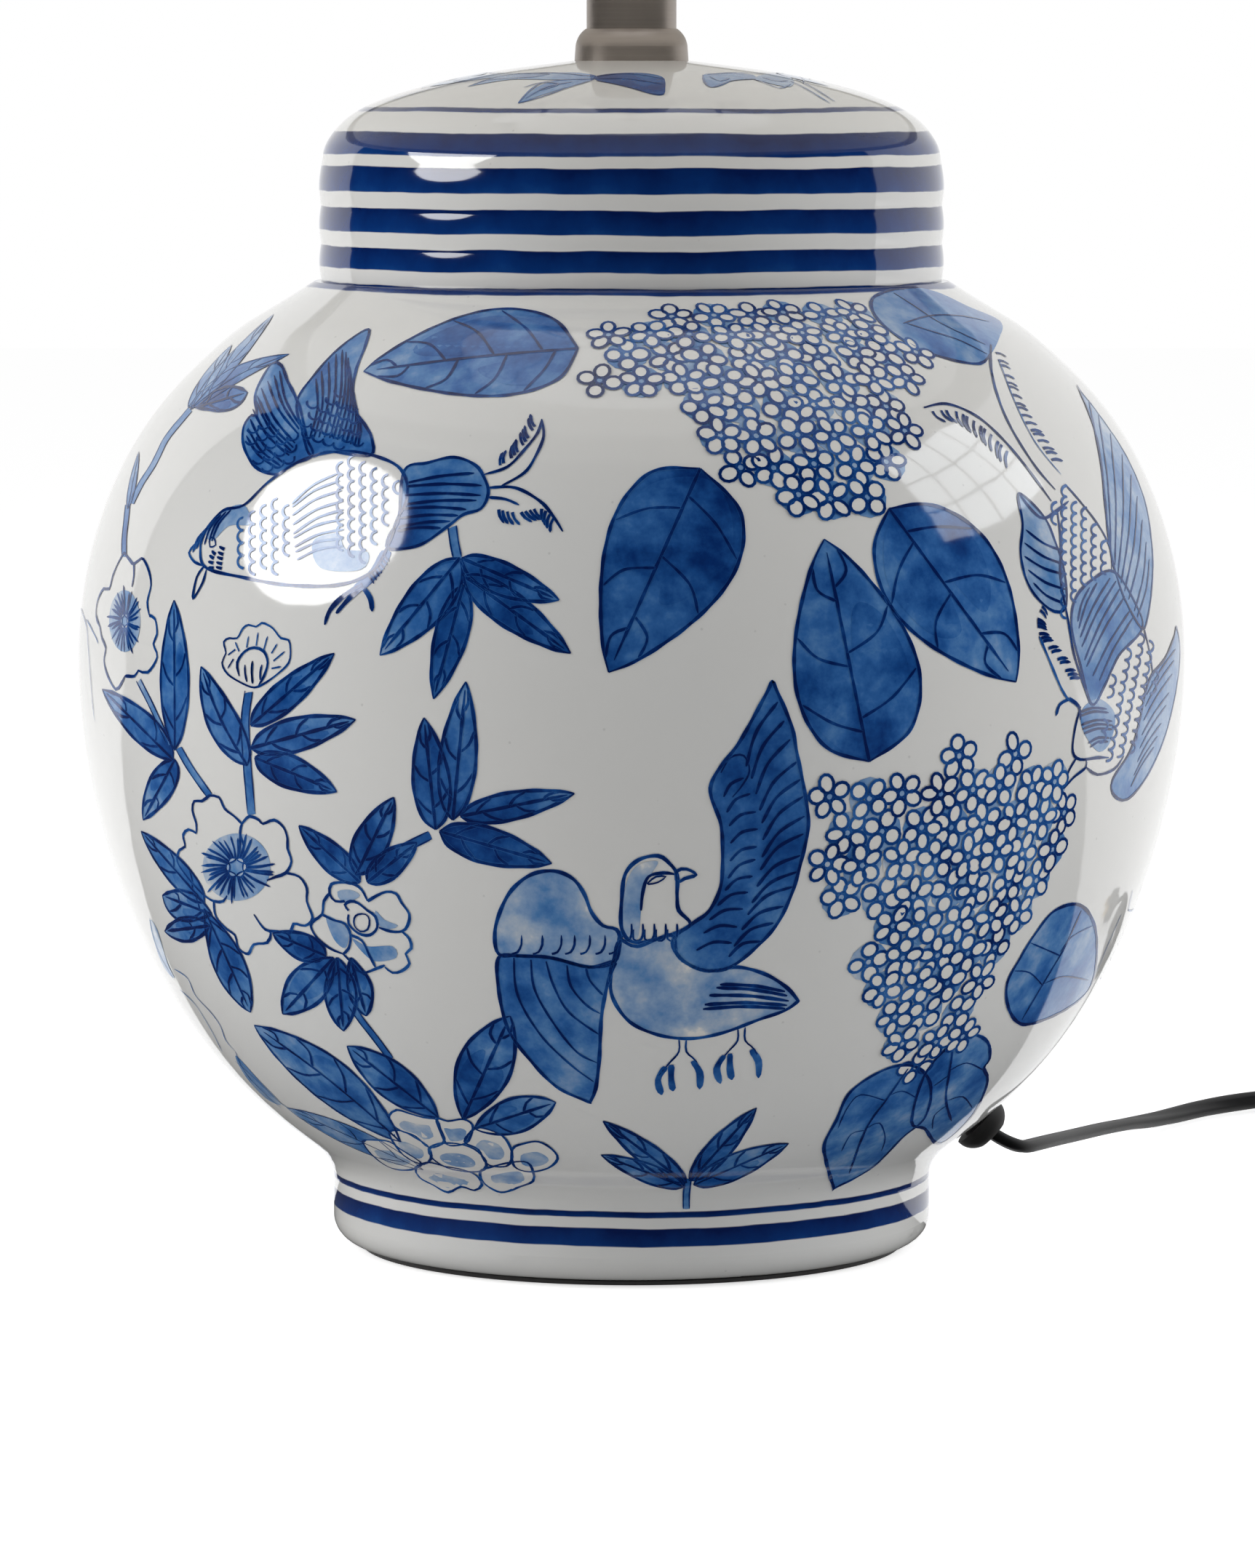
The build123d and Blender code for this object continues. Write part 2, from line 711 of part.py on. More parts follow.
def shade_outline(z):
    """Outside radius of the shade's cone at a height."""
    return shade_bottom_r - slope * (z - shade_bottom_z)


def cone_band(low, high, inner_off, outer_off):
    """A ring that follows the cone between two heights, between two distances from its outside."""
    with BuildPart() as band:
        with BuildSketch(Plane.XZ):
            with BuildLine():
                Polyline(
                    (shade_outline(low) + inner_off, low),
                    (shade_outline(low) + outer_off, low),
                    (shade_outline(high) + outer_off, high),
                    (shade_outline(high) + inner_off, high),
                    close=True,
                )
            make_face()
        revolve(axis=Axis.Z)
    return band


shade_cone = cone_band(shade_bottom_z, shade_top_z, -shade_wall, 0)
finish(shade_cone, "shade_cone")
shade_top_trim = cone_band(shade_top_z - trim_w, shade_top_z, ring_play / 2, trim_t)
finish(shade_top_trim, "shade_top_trim")
shade_bottom_trim = cone_band(shade_bottom_z, shade_bottom_z + trim_w, ring_play / 2, trim_t)
finish(shade_bottom_trim, "shade_bottom_trim")

ring_inset = shade_wall + ring_play + ring_wire_r * hypot(1, slope)
bottom_ring_z = shade_bottom_z + ring_wire_r + ring_play
top_ring_z = shade_top_z - ring_wire_r - ring_play
bottom_ring_r = shade_outline(bottom_ring_z) - ring_inset
top_ring_r = shade_outline(top_ring_z) - ring_inset

with BuildPart() as shade_bottom_ring:
    with BuildSketch(Plane.XZ):
        with Locations((bottom_ring_r, bottom_ring_z)):
            Circle(ring_wire_r)
    revolve(axis=Axis.Z)
finish(shade_bottom_ring, "shade_bottom_ring")

arm_z = fitter_z + arm_r

with BuildPart() as shade_fitter:
    with BuildSketch(Plane.XZ):
        with Locations((top_ring_r, top_ring_z)):
            Circle(ring_wire_r)
    revolve(axis=Axis.Z)
    with BuildLine() as arm_line:
        FilletPolyline(
            (arm_start_r, 0, arm_z), (arm_flat, 0, arm_z), (top_ring_r, 0, top_ring_z), radius=arm_bend
        )
    with BuildSketch(Plane(origin=arm_line.wire() @ 0, z_dir=(1, 0, 0))) as arm_section:
        Circle(arm_r)
    arm = sweep(path=arm_line.wire(), mode=Mode.PRIVATE)
    for azimuth in arm_azimuths:
        add(arm.rotate(Axis.Z, azimuth))
    with BuildSketch(Plane.XY.offset(fitter_z)):
        Circle(fitter_washer_r)
    extrude(amount=fitter_washer_t)
    with BuildSketch(Plane.XY.offset(fitter_z)):
        Circle(washer_hole_r)
    extrude(amount=2 * fitter_washer_t, both=True, mode=Mode.SUBTRACT)
finish(shade_fitter, "shade_fitter")

# --- Finial --------------------------------------------------------------------------------------------

finial_z = fitter_z + fitter_washer_t + turn_gap
ball_z = finial_z + finial_ball_h

with BuildPart() as finial:
    with BuildSketch(Plane.XZ):
        with BuildLine():
            base = Polyline(
                (0, finial_z), (finial_base_r, finial_z), (finial_base_r, finial_z + finial_base_t)
            )
            cove = Spline(
                base @ 1,
                (finial_stem_r, finial_z + finial_base_t + finial_cove_h),
                tangents=((-1, 0.4), (0, 1)),
            )
            stem = Line(cove @ 1, (finial_stem_r, ball_z))
            Polyline(stem @ 1, (0, ball_z), (0, finial_z))
        make_face()
        with Locations((0, ball_z)):
            Circle(finial_ball_r)
        with Locations((0, ball_z + finial_ball_r)):
            Circle(finial_tip_r)
        with Locations((0, ball_z)):
            Rectangle(
                4 * finial_ball_r, 4 * finial_ball_r, align=(Align.MAX, Align.CENTER), mode=Mode.SUBTRACT
            )
    revolve(axis=Axis.Z)
    with BuildSketch(Plane.XY.offset(finial_z)):
        Circle(finial_hole_r)
    extrude(amount=stud_top + finial_hole_gap - finial_z, mode=Mode.SUBTRACT)
finish(finial, "finial")

# --- Grommet -------------------------------------------------------------------------------------------

with BuildPart() as cord_grommet:
    with BuildSketch(Plane.XZ):
        with BuildLine():
            back = Line((0, 0), (grommet_r, 0))
            lip = Line(back @ 1, (grommet_r, grommet_edge))
            dome_edge = EllipticalCenterArc(
                (0, grommet_edge), grommet_r, grommet_dome - grommet_edge, arc_size=90
            )
            Line(dome_edge @ 1, back @ 0)
        make_face()
        with Locations((0, 0)):
            Rectangle(grommet_neck_r, grommet_neck_l, align=(Align.MIN, Align.MAX))
        with Locations((0, -grommet_neck_l)):
            Rectangle(grommet_lip_r, grommet_lip_t, align=(Align.MIN, Align.MAX))
        # The bore, which opens towards the dome's tip so that the cord can bend
        with BuildLine():
            Polyline(
                (0, grommet_dome + 1),
                (grommet_mouth_r, grommet_dome + 1),
                (cord_r + cord_play, 0),
                (cord_r + cord_play, -2 * grommet_neck_l),
                (0, -2 * grommet_neck_l),
                close=True,
            )
        make_face(mode=Mode.SUBTRACT)
    revolve(axis=Axis.Z)
cord_grommet.part.locate(Location(grommet_plane))
finish(cord_grommet, "cord_grommet")

# --- Twin cord -----------------------------------------------------------------------------------------


def along_grommet(distance):
    """A point on the grommet's axis, measured outwards from the flange's back."""
    spot = grommet_plane.origin + grommet_plane.z_dir * distance
    return (spot.X, spot.Y, spot.Z)


pitch = cord_d + cord_gap
lower_z = cord_r + coil_lift


def coil_point(turns):
    """A place on the coil's centreline: in on the lower layer, up, and out on the upper layer."""
    reverse = coil_turns_in + 0.25
    radius = coil_out_r - pitch * (reverse - abs(turns - reverse))
    climb = min(max((turns - coil_turns_in) / 0.5, 0.0), 1.0)
    height = lower_z + pitch * climb * climb * (3 - 2 * climb)
    angle = radians(coil_start_angle) - 2 * pi * turns
    return Vector(coil_centre[0] + radius * cos(angle), coil_centre[1] + radius * sin(angle), height)


def coil_heading(turns):
    """The direction of the cord at that place."""
    small = 0.001
    return (coil_point(turns + small) - coil_point(turns - small)).normalized()


coil_turns = 2 * coil_turns_in + 0.5
coil_first = coil_point(0)
first_heading = coil_heading(0)
coil_last = coil_point(coil_turns)
last_heading = coil_heading(coil_turns)
coil_entry = coil_first - first_heading * cord_d
lead_in = coil_entry - first_heading * coil_lead_in

# The free stretch, from the grommet down to the table and out to the coil
free_route = [
    along_grommet(0),
    along_grommet(grommet_straight),
    (103.1, 5.0, 24.0),
    (107.4, 17.5, 23.0),
    (112.8, 40.0, 20.7),
    (121.9, 83.0, 15.8),
    (136.4, 140.0, 10.0),
    (153.3, 193.0, 4.2),
    (171.5, 227.5, lower_z),
    (lead_in.X, lead_in.Y, lower_z),
    (coil_entry.X, coil_entry.Y, lower_z),
]
free_radii = corner_radii(free_route)
print("free cord radii", [round(radius, 1) for radius in free_radii])

with BuildPart() as cord_free:
    with BuildLine() as free_line:
        FilletPolyline(*free_route, radius=free_radii)
    with BuildSketch(Plane(origin=free_route[0], z_dir=free_line.wire() % 0)):
        Circle(cord_r)
    sweep(path=free_line.wire())
finish(cord_free, "cord_free")
free_length = free_line.wire().length
print("free cord length", round(free_length, 1), "volume", round(cord_free.part.volume))
print("section times length", round(pi * cord_r**2 * free_length))


def add_biarc(start, heading, end, end_heading):
    """Two tangent arcs that leave and arrive with the given headings."""
    span = end - start
    both = heading + end_heading
    spread = 2 * (1 - heading.dot(end_heading))
    reach = span.dot(both)
    if spread < 1e-9:
        arm_length = span.dot(span) / (2 * reach)
    else:
        arm_length = (-reach + (reach**2 + spread * span.dot(span)) ** 0.5) / spread
    corner_in = start + heading * arm_length
    corner_out = end - end_heading * arm_length
    middle = (corner_in + corner_out) / 2
    TangentArc(start, middle, tangent=heading)
    TangentArc(middle, end, tangent=corner_out - corner_in)


# The tail leaves the upper layer and comes down to the plug's height
plug_axis_z = plug_t / 2
tail_drop = coil_last.Z - plug_axis_z
tail_route = [
    coil_last,
    coil_last + last_heading * tail_flat,
    coil_last + last_heading * (tail_flat + tail_down) - Vector(0, 0, tail_drop),
    coil_last + last_heading * (tail_flat + tail_down + tail_out) - Vector(0, 0, tail_drop),
]
tail_radii = corner_radii([tuple(point) for point in tail_route])
print("tail radii", [round(radius, 1) for radius in tail_radii])

steps = round(4 * coil_turns)  # a quarter turn each
with BuildPart() as cord_coil:
    with BuildLine() as coil_line:
        Line(coil_entry, coil_first)
        for step in range(steps):
            here = coil_turns * step / steps
            there = coil_turns * (step + 1) / steps
            add_biarc(coil_point(here), coil_heading(here), coil_point(there), coil_heading(there))
        FilletPolyline(*tail_route, radius=tail_radii)
    with BuildSketch(Plane(origin=coil_entry, z_dir=coil_line.wire() % 0)):
        Circle(cord_r)
    sweep(path=coil_line.wire())
finish(cord_coil, "cord_coil")

coil_length = coil_line.wire().length

# The least distance between two turns, looked for at points about every 2 mm
samples = round(coil_length / 2)
places = [tuple(coil_line.wire() @ (i / samples)) for i in range(samples + 1)]
skip = round(samples * pi * coil_out_r * 0.5 / coil_length)  # a quarter turn of the outermost turn
least = min(
    hypot(a[0] - b[0], a[1] - b[1], a[2] - b[2])
    for i, a in enumerate(places)
    for b in places[i + skip :]
)
print("coil length", round(coil_length, 1), "turns", round(coil_turns, 2))
print("least gap between turns", round(least - cord_d, 2))
print("cord from the grommet to the plug", round(free_length + coil_length, 1))

# The tie round the coil
tie_low = coil_lift - tie_play - tie_t
tie_high = lower_z + pitch + cord_r + tie_play
tie_in = coil_out_r - pitch * (coil_turns_in + 0.25) - cord_r - tie_play
tie_out = coil_out_r + cord_r + tie_play
tie_plane = Plane(
    origin=(coil_centre[0], coil_centre[1], 0),
    x_dir=(cos(radians(tie_angle)), sin(radians(tie_angle)), 0),
    z_dir=(sin(radians(tie_angle)), -cos(radians(tie_angle)), 0),
)

with BuildPart() as cord_tie:
    with BuildSketch(tie_plane):
        with Locations(((tie_in + tie_out) / 2, (tie_low + tie_t + tie_high) / 2)):
            RectangleRounded(tie_out - tie_in + 2 * tie_t, tie_high - tie_low + tie_t, tie_round_r + tie_t)
            RectangleRounded(tie_out - tie_in, tie_high - tie_low - tie_t, tie_round_r, mode=Mode.SUBTRACT)
    extrude(amount=tie_w / 2, both=True)
finish(cord_tie, "cord_tie")

# The lead inside: through the grommet, up through the hollow jar and the nipple
lead_top = nipple_top + lead_stands_out
nipple_foot = under_lid_z - nipple_below
inside_route = [
    along_grommet(0),
    along_grommet(-grommet_neck_l - grommet_lip_t - lead_in_straight),
    (52.0, 0, 78.0),
    (28.0, 4.0, 118.0),
    (14.0, 3.0, 170.0),
    (4.0, 0.5, 222.0),
    (0.0, 0.0, nipple_foot - lead_up_straight),
    (0.0, 0.0, lead_top),
]
inside_radii = corner_radii(inside_route)
with BuildPart() as cord_inside:
    with BuildLine() as inside_line:
        FilletPolyline(*inside_route, radius=inside_radii)
    with BuildSketch(Plane(origin=inside_route[0], z_dir=inside_line.wire() % 0)):
        Circle(cord_r)
    sweep(path=inside_line.wire())
finish(cord_inside, "cord_inside")
print("inside lead radii", [round(radius, 1) for radius in inside_radii])

wire_foot = lead_top + wire_split_gap
wire_y = terminal_r + wire_r + wire_end_gap
with BuildPart() as socket_wires:
    for side in (-1, 1):
        wire_x = side * (block_flat + wire_r + wire_side_gap)
        wire_route = [
            (side * wire_spread, 0, wire_foot),
            (side * wire_spread, 0, wire_foot + wire_split_l),
            (wire_x, wire_y, block_foot_z - wire_foot_drop),
            (wire_x, wire_y, terminal_z),
        ]
        with BuildLine() as wire_line:
            FilletPolyline(*wire_route, radius=wire_bend)
        with BuildSketch(Plane(origin=wire_route[0], z_dir=(0, 0, 1))):
            Circle(wire_r)
        sweep(path=wire_line.wire())
finish(socket_wires, "socket_wires")

# --- Plug ----------------------------------------------------------------------------------------------

plug_start = tail_route[-1]
plug_plane = Plane(origin=plug_start, x_dir=last_heading.cross(Vector(0, 0, 1)), z_dir=last_heading)

with BuildPart() as plug_body:
    with BuildSketch(plug_plane):
        Circle(plug_neck_r)
    with BuildSketch(plug_plane.offset(plug_neck_l)):
        RectangleRounded(plug_root_w, plug_root_t, plug_root_corner_r)
    loft()
    with BuildSketch(plug_plane.offset(plug_neck_l)):
        RectangleRounded(plug_w, plug_t, plug_corner_r)
    extrude(amount=plug_l)
    fillet(plug_body.faces().sort_by(Axis(plug_start, last_heading))[-1].edges(), plug_end_round)
finish(plug_body, "plug_body")

with BuildPart() as plug_blades:
    face = plug_plane.offset(plug_neck_l + plug_l)
    with BuildSketch(face):
        with GridLocations(blade_pitch, 0, 2, 1):
            Rectangle(blade_t, blade_w)
    extrude(amount=blade_l)
    # The hole near each blade's tip
    tip = face.origin + last_heading * (blade_l - blade_hole_in)
    with BuildSketch(Plane(origin=tip, z_dir=face.x_dir)):
        Circle(blade_hole_r)
    extrude(amount=blade_pitch, both=True, mode=Mode.SUBTRACT)
finish(plug_blades, "plug_blades")
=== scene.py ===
# %% [markdown]
# # A ginger jar lamp
# The lamp's base is a round porcelain jar with a lid, painted in cobalt blue under a glossy glaze.
# The solids come from the construction model, and this lesson gives them their finish. It also adds
# the lid's smooth dome, the painting and the flat twin cord. Sizes are in metres, like Blender's own
# unit, and MM turns a maker's millimetres into them.

# %% Load the frame
import math
import random

import bpy
import numpy as np
from mathutils import Matrix, Vector, geometry
from mathutils.bvhtree import BVHTree


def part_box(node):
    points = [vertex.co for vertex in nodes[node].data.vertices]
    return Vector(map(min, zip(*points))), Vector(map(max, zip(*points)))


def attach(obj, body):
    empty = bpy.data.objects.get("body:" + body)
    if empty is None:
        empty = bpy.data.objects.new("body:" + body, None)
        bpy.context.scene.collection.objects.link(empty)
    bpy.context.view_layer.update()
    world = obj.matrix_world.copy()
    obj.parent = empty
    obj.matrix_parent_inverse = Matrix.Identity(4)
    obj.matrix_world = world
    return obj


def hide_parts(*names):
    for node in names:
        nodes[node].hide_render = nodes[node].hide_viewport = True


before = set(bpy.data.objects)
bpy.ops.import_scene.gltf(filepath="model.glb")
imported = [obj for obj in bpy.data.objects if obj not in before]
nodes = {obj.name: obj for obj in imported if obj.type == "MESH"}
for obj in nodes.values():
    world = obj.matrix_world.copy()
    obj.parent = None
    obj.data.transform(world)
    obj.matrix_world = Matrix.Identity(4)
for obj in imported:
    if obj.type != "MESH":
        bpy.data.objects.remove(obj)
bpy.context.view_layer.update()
MM = 0.001

# %% [markdown]
# ## Camera
# The photograph was taken from about two metres with a long lens, a little above the jar's shoulder
# and tilted down. The focal length was found in picture pixels, so it is turned into Blender's
# millimetres on a 36 mm sensor, which Blender lays along the picture's long side.

# %% Camera
PHOTO_HEIGHT = 2156  # pixels
FOCAL_LENGTH = 10060  # pixels
EYE = Vector((-1.05, -1916.9, 311.66)) * MM
TILT = math.radians(5.6655)

lens = bpy.data.cameras.new("photo_lens")
lens.sensor_width = 36
lens.lens = FOCAL_LENGTH / PHOTO_HEIGHT * lens.sensor_width
lens.clip_end = 60
camera = bpy.data.objects.new("photo_camera", lens)
camera.location = EYE
camera.rotation_euler = (math.pi / 2 - TILT, 0, 0)
bpy.context.scene.collection.objects.link(camera)
bpy.context.scene.camera = camera
bpy.context.scene.view_settings.view_transform = "Standard"
print("lens", round(lens.lens, 1), "mm")

# %% [markdown]
# ## Helpers for shaders
# A material is a small tree of nodes. Small helpers keep the trees short to write: they place a node
# and fill its inputs, open a new material around its Principled BSDF, and open a shared group.

# %% Shader helpers
def feed(node, **values):
    """Sets a node's inputs by name, or by number as _0. A value may be the socket that a link starts from."""
    for name, value in values.items():
        socket = node.inputs[int(name[1:])] if name[1:].isdigit() else node.inputs[name.replace("_", " ")]
        if isinstance(value, bpy.types.NodeSocket):
            node.id_data.links.new(value, socket)
        else:
            socket.default_value = value


def place(tree, kind, into=None, **values):
    """Adds a node, with its own settings in into and its inputs in values."""
    node = tree.nodes.new(kind)
    for name, value in (into or {}).items():
        setattr(node, name, value)
    feed(node, **values)
    return node


def maths(tree, operation, *values):
    numbered = {f"_{i}": value for i, value in enumerate(values)}
    return place(tree, "ShaderNodeMath", {"operation": operation}, **numbered).outputs[0]


def noise(tree, where, scale, detail, **more):
    return place(tree, "ShaderNodeTexNoise", Vector=where, Scale=scale, Detail=detail, **more).outputs["Fac"]


def remap(tree, value, low, high, **limits):
    return place(tree, "ShaderNodeMapRange", Value=value, To_Min=low, To_Max=high, **limits).outputs[0]


def stretched(tree, vector, scale):
    return place(tree, "ShaderNodeVectorMath", {"operation": "MULTIPLY"}, _0=vector, _1=scale).outputs[0]


def tinted(tree, tint, strength):
    """A colour made lighter or darker."""
    return place(tree, "ShaderNodeVectorMath", {"operation": "SCALE"}, _0=tint, Scale=strength).outputs[0]


def mixed(tree, share, below, above, blend="MIX"):
    settings = {"data_type": "RGBA", "blend_type": blend}
    return place(tree, "ShaderNodeMix", settings, Factor=share, A=below, B=above).outputs["Result"]


def bumped(tree, height, strength, distance):
    return place(tree, "ShaderNodeBump", Height=height, Strength=strength, Distance=distance).outputs[0]


def on_object(tree):
    """The place on the object itself, in metres."""
    return place(tree, "ShaderNodeTexCoord").outputs["Object"]


def material(name, colour, roughness, metallic=0.0):
    """A new material with its tree and its Principled BSDF."""
    made = bpy.data.materials.new(name)
    made.use_nodes = True
    shader = made.node_tree.nodes["Principled BSDF"]
    feed(shader, Base_Color=(*colour, 1), Roughness=roughness, Metallic=metallic)
    return made, made.node_tree, shader


def group(name, inputs, outputs):
    """A new shader node group. Inputs are (name, kind, value), outputs are (name, kind)."""
    tree = bpy.data.node_groups.new(name, "ShaderNodeTree")
    for label, kind, value in inputs:
        socket = tree.interface.new_socket(label, in_out="INPUT", socket_type=kind)
        socket.default_value = value
    for label, kind in outputs:
        tree.interface.new_socket(label, in_out="OUTPUT", socket_type=kind)
    return tree, tree.nodes.new("NodeGroupInput").outputs, tree.nodes.new("NodeGroupOutput")


def use(tree, shared, **values):
    """Places a shared group in a material with its own values."""
    return place(tree, "ShaderNodeGroup", {"node_tree": shared}, **values).outputs


def finish_with(made, *names):
    """Gives CAD nodes a material."""
    for name in names:
        nodes[name].data.materials.clear()
        nodes[name].data.materials.append(made)


FLOAT, COLOUR, VECTOR = "NodeSocketFloat", "NodeSocketColor", "NodeSocketVector"
WHITE_LIGHT = (1, 1, 1, 1)
print("shader helpers ready")

# %% [markdown]
# ## Room
# The jar was photographed on white, between a large soft light on the left and a window on the right,
# with a darker room behind the camera. A real softbox is a glowing sheet, so area lights stand in for
# both. The floor is white to the camera and keeps the lamp's soft shadow.

# %% Floor
def add_mesh(name, points, faces, made, rounded=False):
    """A new object from points and faces, in one material."""
    mesh = bpy.data.meshes.new(name)
    mesh.from_pydata(points, [], faces)
    if rounded:
        mesh.polygons.foreach_set("use_smooth", [True] * len(mesh.polygons))
    mesh.materials.append(made)
    piece = bpy.data.objects.new(name, mesh)
    bpy.context.scene.collection.objects.link(piece)
    return piece


def seen_directly(tree):
    """1 for the camera's rays and for those that a glossy or a clear surface sends on."""
    rays = place(tree, "ShaderNodeLightPath").outputs
    seen = maths(tree, "MAXIMUM", rays["Is Camera Ray"], rays["Is Glossy Ray"])
    return maths(tree, "MAXIMUM", seen, rays["Is Transmission Ray"])


FLOOR_HALF = 6.0
FLOOR_DROP = 0.0002  # just under the lamp, so that the two never share a plane
FLOOR_GLOW = 0.62  # lifts the paper to white for the camera, and leaves the shadow

paper, tree, shader = material("white_paper", (0.8, 0.8, 0.8), 0.9)
glow = place(tree, "ShaderNodeEmission", Color=WHITE_LIGHT, Strength=FLOOR_GLOW)
bright = place(tree, "ShaderNodeBsdfDiffuse", Color=(0.92, 0.92, 0.92, 1))
both = place(tree, "ShaderNodeAddShader", _0=bright.outputs[0], _1=glow.outputs[0])
shown = place(tree, "ShaderNodeMixShader", Fac=seen_directly(tree), _1=shader.outputs[0], _2=both.outputs[0])
feed(tree.nodes["Material Output"], Surface=shown.outputs[0])
corners = [(-1, -1), (1, -1), (1, 1), (-1, 1)]
corners = [(x * FLOOR_HALF, y * FLOOR_HALF, -FLOOR_DROP) for x, y in corners]
add_mesh("floor", corners, [(0, 1, 2, 3)], paper)
print("floor", 2 * FLOOR_HALF, "m wide")

# %% World
FILL = 0.40  # light that comes from everywhere
world = bpy.data.worlds.new("white_room")
bpy.context.scene.world = world
world.use_nodes = True
tree = world.node_tree
dim = tree.nodes["Background"]
feed(dim, Color=WHITE_LIGHT, Strength=FILL)
white = place(tree, "ShaderNodeBackground", Color=WHITE_LIGHT, Strength=1.0)
shown = place(tree, "ShaderNodeMixShader", Fac=seen_directly(tree), _1=dim.outputs[0], _2=white.outputs[0])
feed(tree.nodes["World Output"], Surface=shown.outputs[0])
print("fill", FILL)


# %% Soft lights
JAR_MIDDLE = Vector((0, 0, 0.19))


def around(azimuth, elevation, distance):
    """A point seen from the jar's middle. Azimuth 0 is the viewer's side, 90 the right."""
    a, e = math.radians(azimuth), math.radians(elevation)
    return JAR_MIDDLE + Vector((math.sin(a) * math.cos(e), -math.cos(a) * math.cos(e), math.sin(e))) * distance


def soft_light(name, azimuth, elevation, distance, size, radiance, diffuse=True, glossy=True, shape="RECTANGLE"):
    """A glowing sheet that faces the jar's middle."""
    width, height = size
    data = bpy.data.lights.new(name, "AREA")
    data.shape = shape
    data.size, data.size_y = width, height
    area = width * height * (math.pi / 4 if shape == "ELLIPSE" else 1)
    data.energy = radiance * area * math.pi
    lamp = bpy.data.objects.new(name, data)
    lamp.location = around(azimuth, elevation, distance)
    lamp.rotation_euler = (lamp.location - JAR_MIDDLE).to_track_quat("Z", "Y").to_euler()
    lamp.visible_camera = False
    lamp.visible_diffuse = diffuse
    lamp.visible_glossy = glossy
    bpy.context.scene.collection.objects.link(lamp)
    return lamp


shade = nodes["shade_cone"]
SHADE_MOUTH = min((shade.matrix_world @ Vector(corner)).z for corner in shade.bound_box)
soft_light("softbox_left", -80, 18, 1.5, (1.1, 1.0), 3.4, glossy=False)
soft_light("softbox_left_seen", -73, 28, 1.5, (1.02, 0.88), 10, diffuse=False, shape="ELLIPSE")
soft_light("softbox_right", 88, 20, 1.6, (1.1, 1.1), 3.0, glossy=False)
through_cloth = soft_light("light_through_shade", 0, 90, 1, (0.34, 0.34), 0.36, shape="ELLIPSE")
through_cloth.location = (0, 0, SHADE_MOUTH)

# %% [markdown]
# The room behind the camera was dark, which keeps the cobalt deep where the jar faces the viewer. A
# bent black card stands there as a painted reflection of that dark room. Its foot reaches forward over
# the table, so the glaze shows it dark where it would show the white table. Only mirror-like rays see
# it. The window on the right is built the same way: glowing panes that only show in the glaze, a
# painted reflection of a window that lights nothing.


# %% Dark card and window
def seen_in_glaze(name, points, faces, colour, glow):
    """A stage piece that only reflections see: a painted reflection, dark or glowing."""
    made, tree, shader = material(name, colour, 0.9)
    feed(shader, Emission_Color=(*colour, 1), Emission_Strength=glow)
    card = add_mesh(name, points, faces, made)
    for ray in ("camera", "diffuse", "transmission", "volume_scatter", "shadow"):
        setattr(card, "visible_" + ray, False)


CARD_AZIMUTHS = range(-125, 101, 5)
CARD_EDGE, CARD_BEND, CARD_TOP = (0.001, 0.06), (0.001, 2.5), (6.0, 2.5)  # height and distance from the axis
card_points, card_faces = [], []
for k, azimuth in enumerate(CARD_AZIMUTHS):
    for height, distance in (CARD_EDGE, CARD_BEND, CARD_TOP):
        card_points.append((*around(azimuth, 0, distance).xy, height))
    if k:
        a, b = 3 * k - 3, 3 * k
        card_faces += [(a, a + 1, b + 1, b), (a + 1, a + 2, b + 2, b + 1)]
# painted reflection: a black card that only the glaze's reflections see
seen_in_glaze("dark_card", card_points, card_faces, (0.012, 0.012, 0.013), 0.0)

PANES_ACROSS, PANES_UP = 4, 3
WINDOW_LEFT, WINDOW_LOW, WINDOW_AWAY = 72, 25, 1.9  # azimuth, elevation and distance
PANE_AZIMUTH, PANE_ELEVATION = 9.6, 7.0  # degrees that a pane and its bar take
GLASS = 0.93  # the pane's share of them
pane_points, pane_faces = [], []
for across in range(PANES_ACROSS):
    for up in range(PANES_UP):
        left, low = WINDOW_LEFT + across * PANE_AZIMUTH, WINDOW_LOW + up * PANE_ELEVATION
        right, high = left + PANE_AZIMUTH * GLASS, low + PANE_ELEVATION * GLASS
        first = len(pane_points)
        corners = ((left, low), (right, low), (right, high), (left, high))
        pane_points += [around(*corner, WINDOW_AWAY) for corner in corners]
        pane_faces.append(tuple(range(first, first + 4)))
# painted reflection of a window: glowing panes that light nothing and only show in the glaze
seen_in_glaze("window_panes", pane_points, pane_faces, (0.92, 0.96, 1.0), 3.4)
print("panes", len(pane_faces))

# %% [markdown]
# ## Twin cord
# A lamp cord is two insulated wires side by side, 5.2 mm across and 3.3 mm thick. It leaves the rubber
# grommet, bends up a little where it is stiff and falls to the table. Where the photograph stops, the
# rest is wound into a neat coil. A NURBS curve through the same route gives the smooth centreline, and
# a tube of a figure-of-eight section follows it.

# %% Cord route
CORD_WIDTH = 5.2 * MM
CORD_THICK = 3.3 * MM
COIL_CENTRE = Vector((243.5, 234.0)) * MM
COIL_RADIUS = 41.0 * MM
COIL_PITCH = 5.65 * MM
TURNS_IN = 3.435
CLIMB_TURNS = 0.5  # the part of a turn in which the cord steps up to the upper layer
COIL_START = math.radians(133)
LOWER_LAYER = 3.3 * MM
POINTS_A_TURN = 16


def coil_point(turns):
    """A place on the coil: in on the lower layer, up, and out on the upper layer."""
    reverse = TURNS_IN + CLIMB_TURNS / 2
    radius = COIL_RADIUS - COIL_PITCH * (reverse - abs(turns - reverse))
    radius /= math.cos(math.pi / POINTS_A_TURN)  # the smooth curve cuts inside its control points
    climb = min(max((turns - TURNS_IN) / CLIMB_TURNS, 0), 1)
    height = LOWER_LAYER + COIL_PITCH * climb * climb * (3 - 2 * climb)
    angle = COIL_START - math.tau * turns
    return Vector((COIL_CENTRE.x + radius * math.cos(angle), COIL_CENTRE.y + radius * math.sin(angle), height))


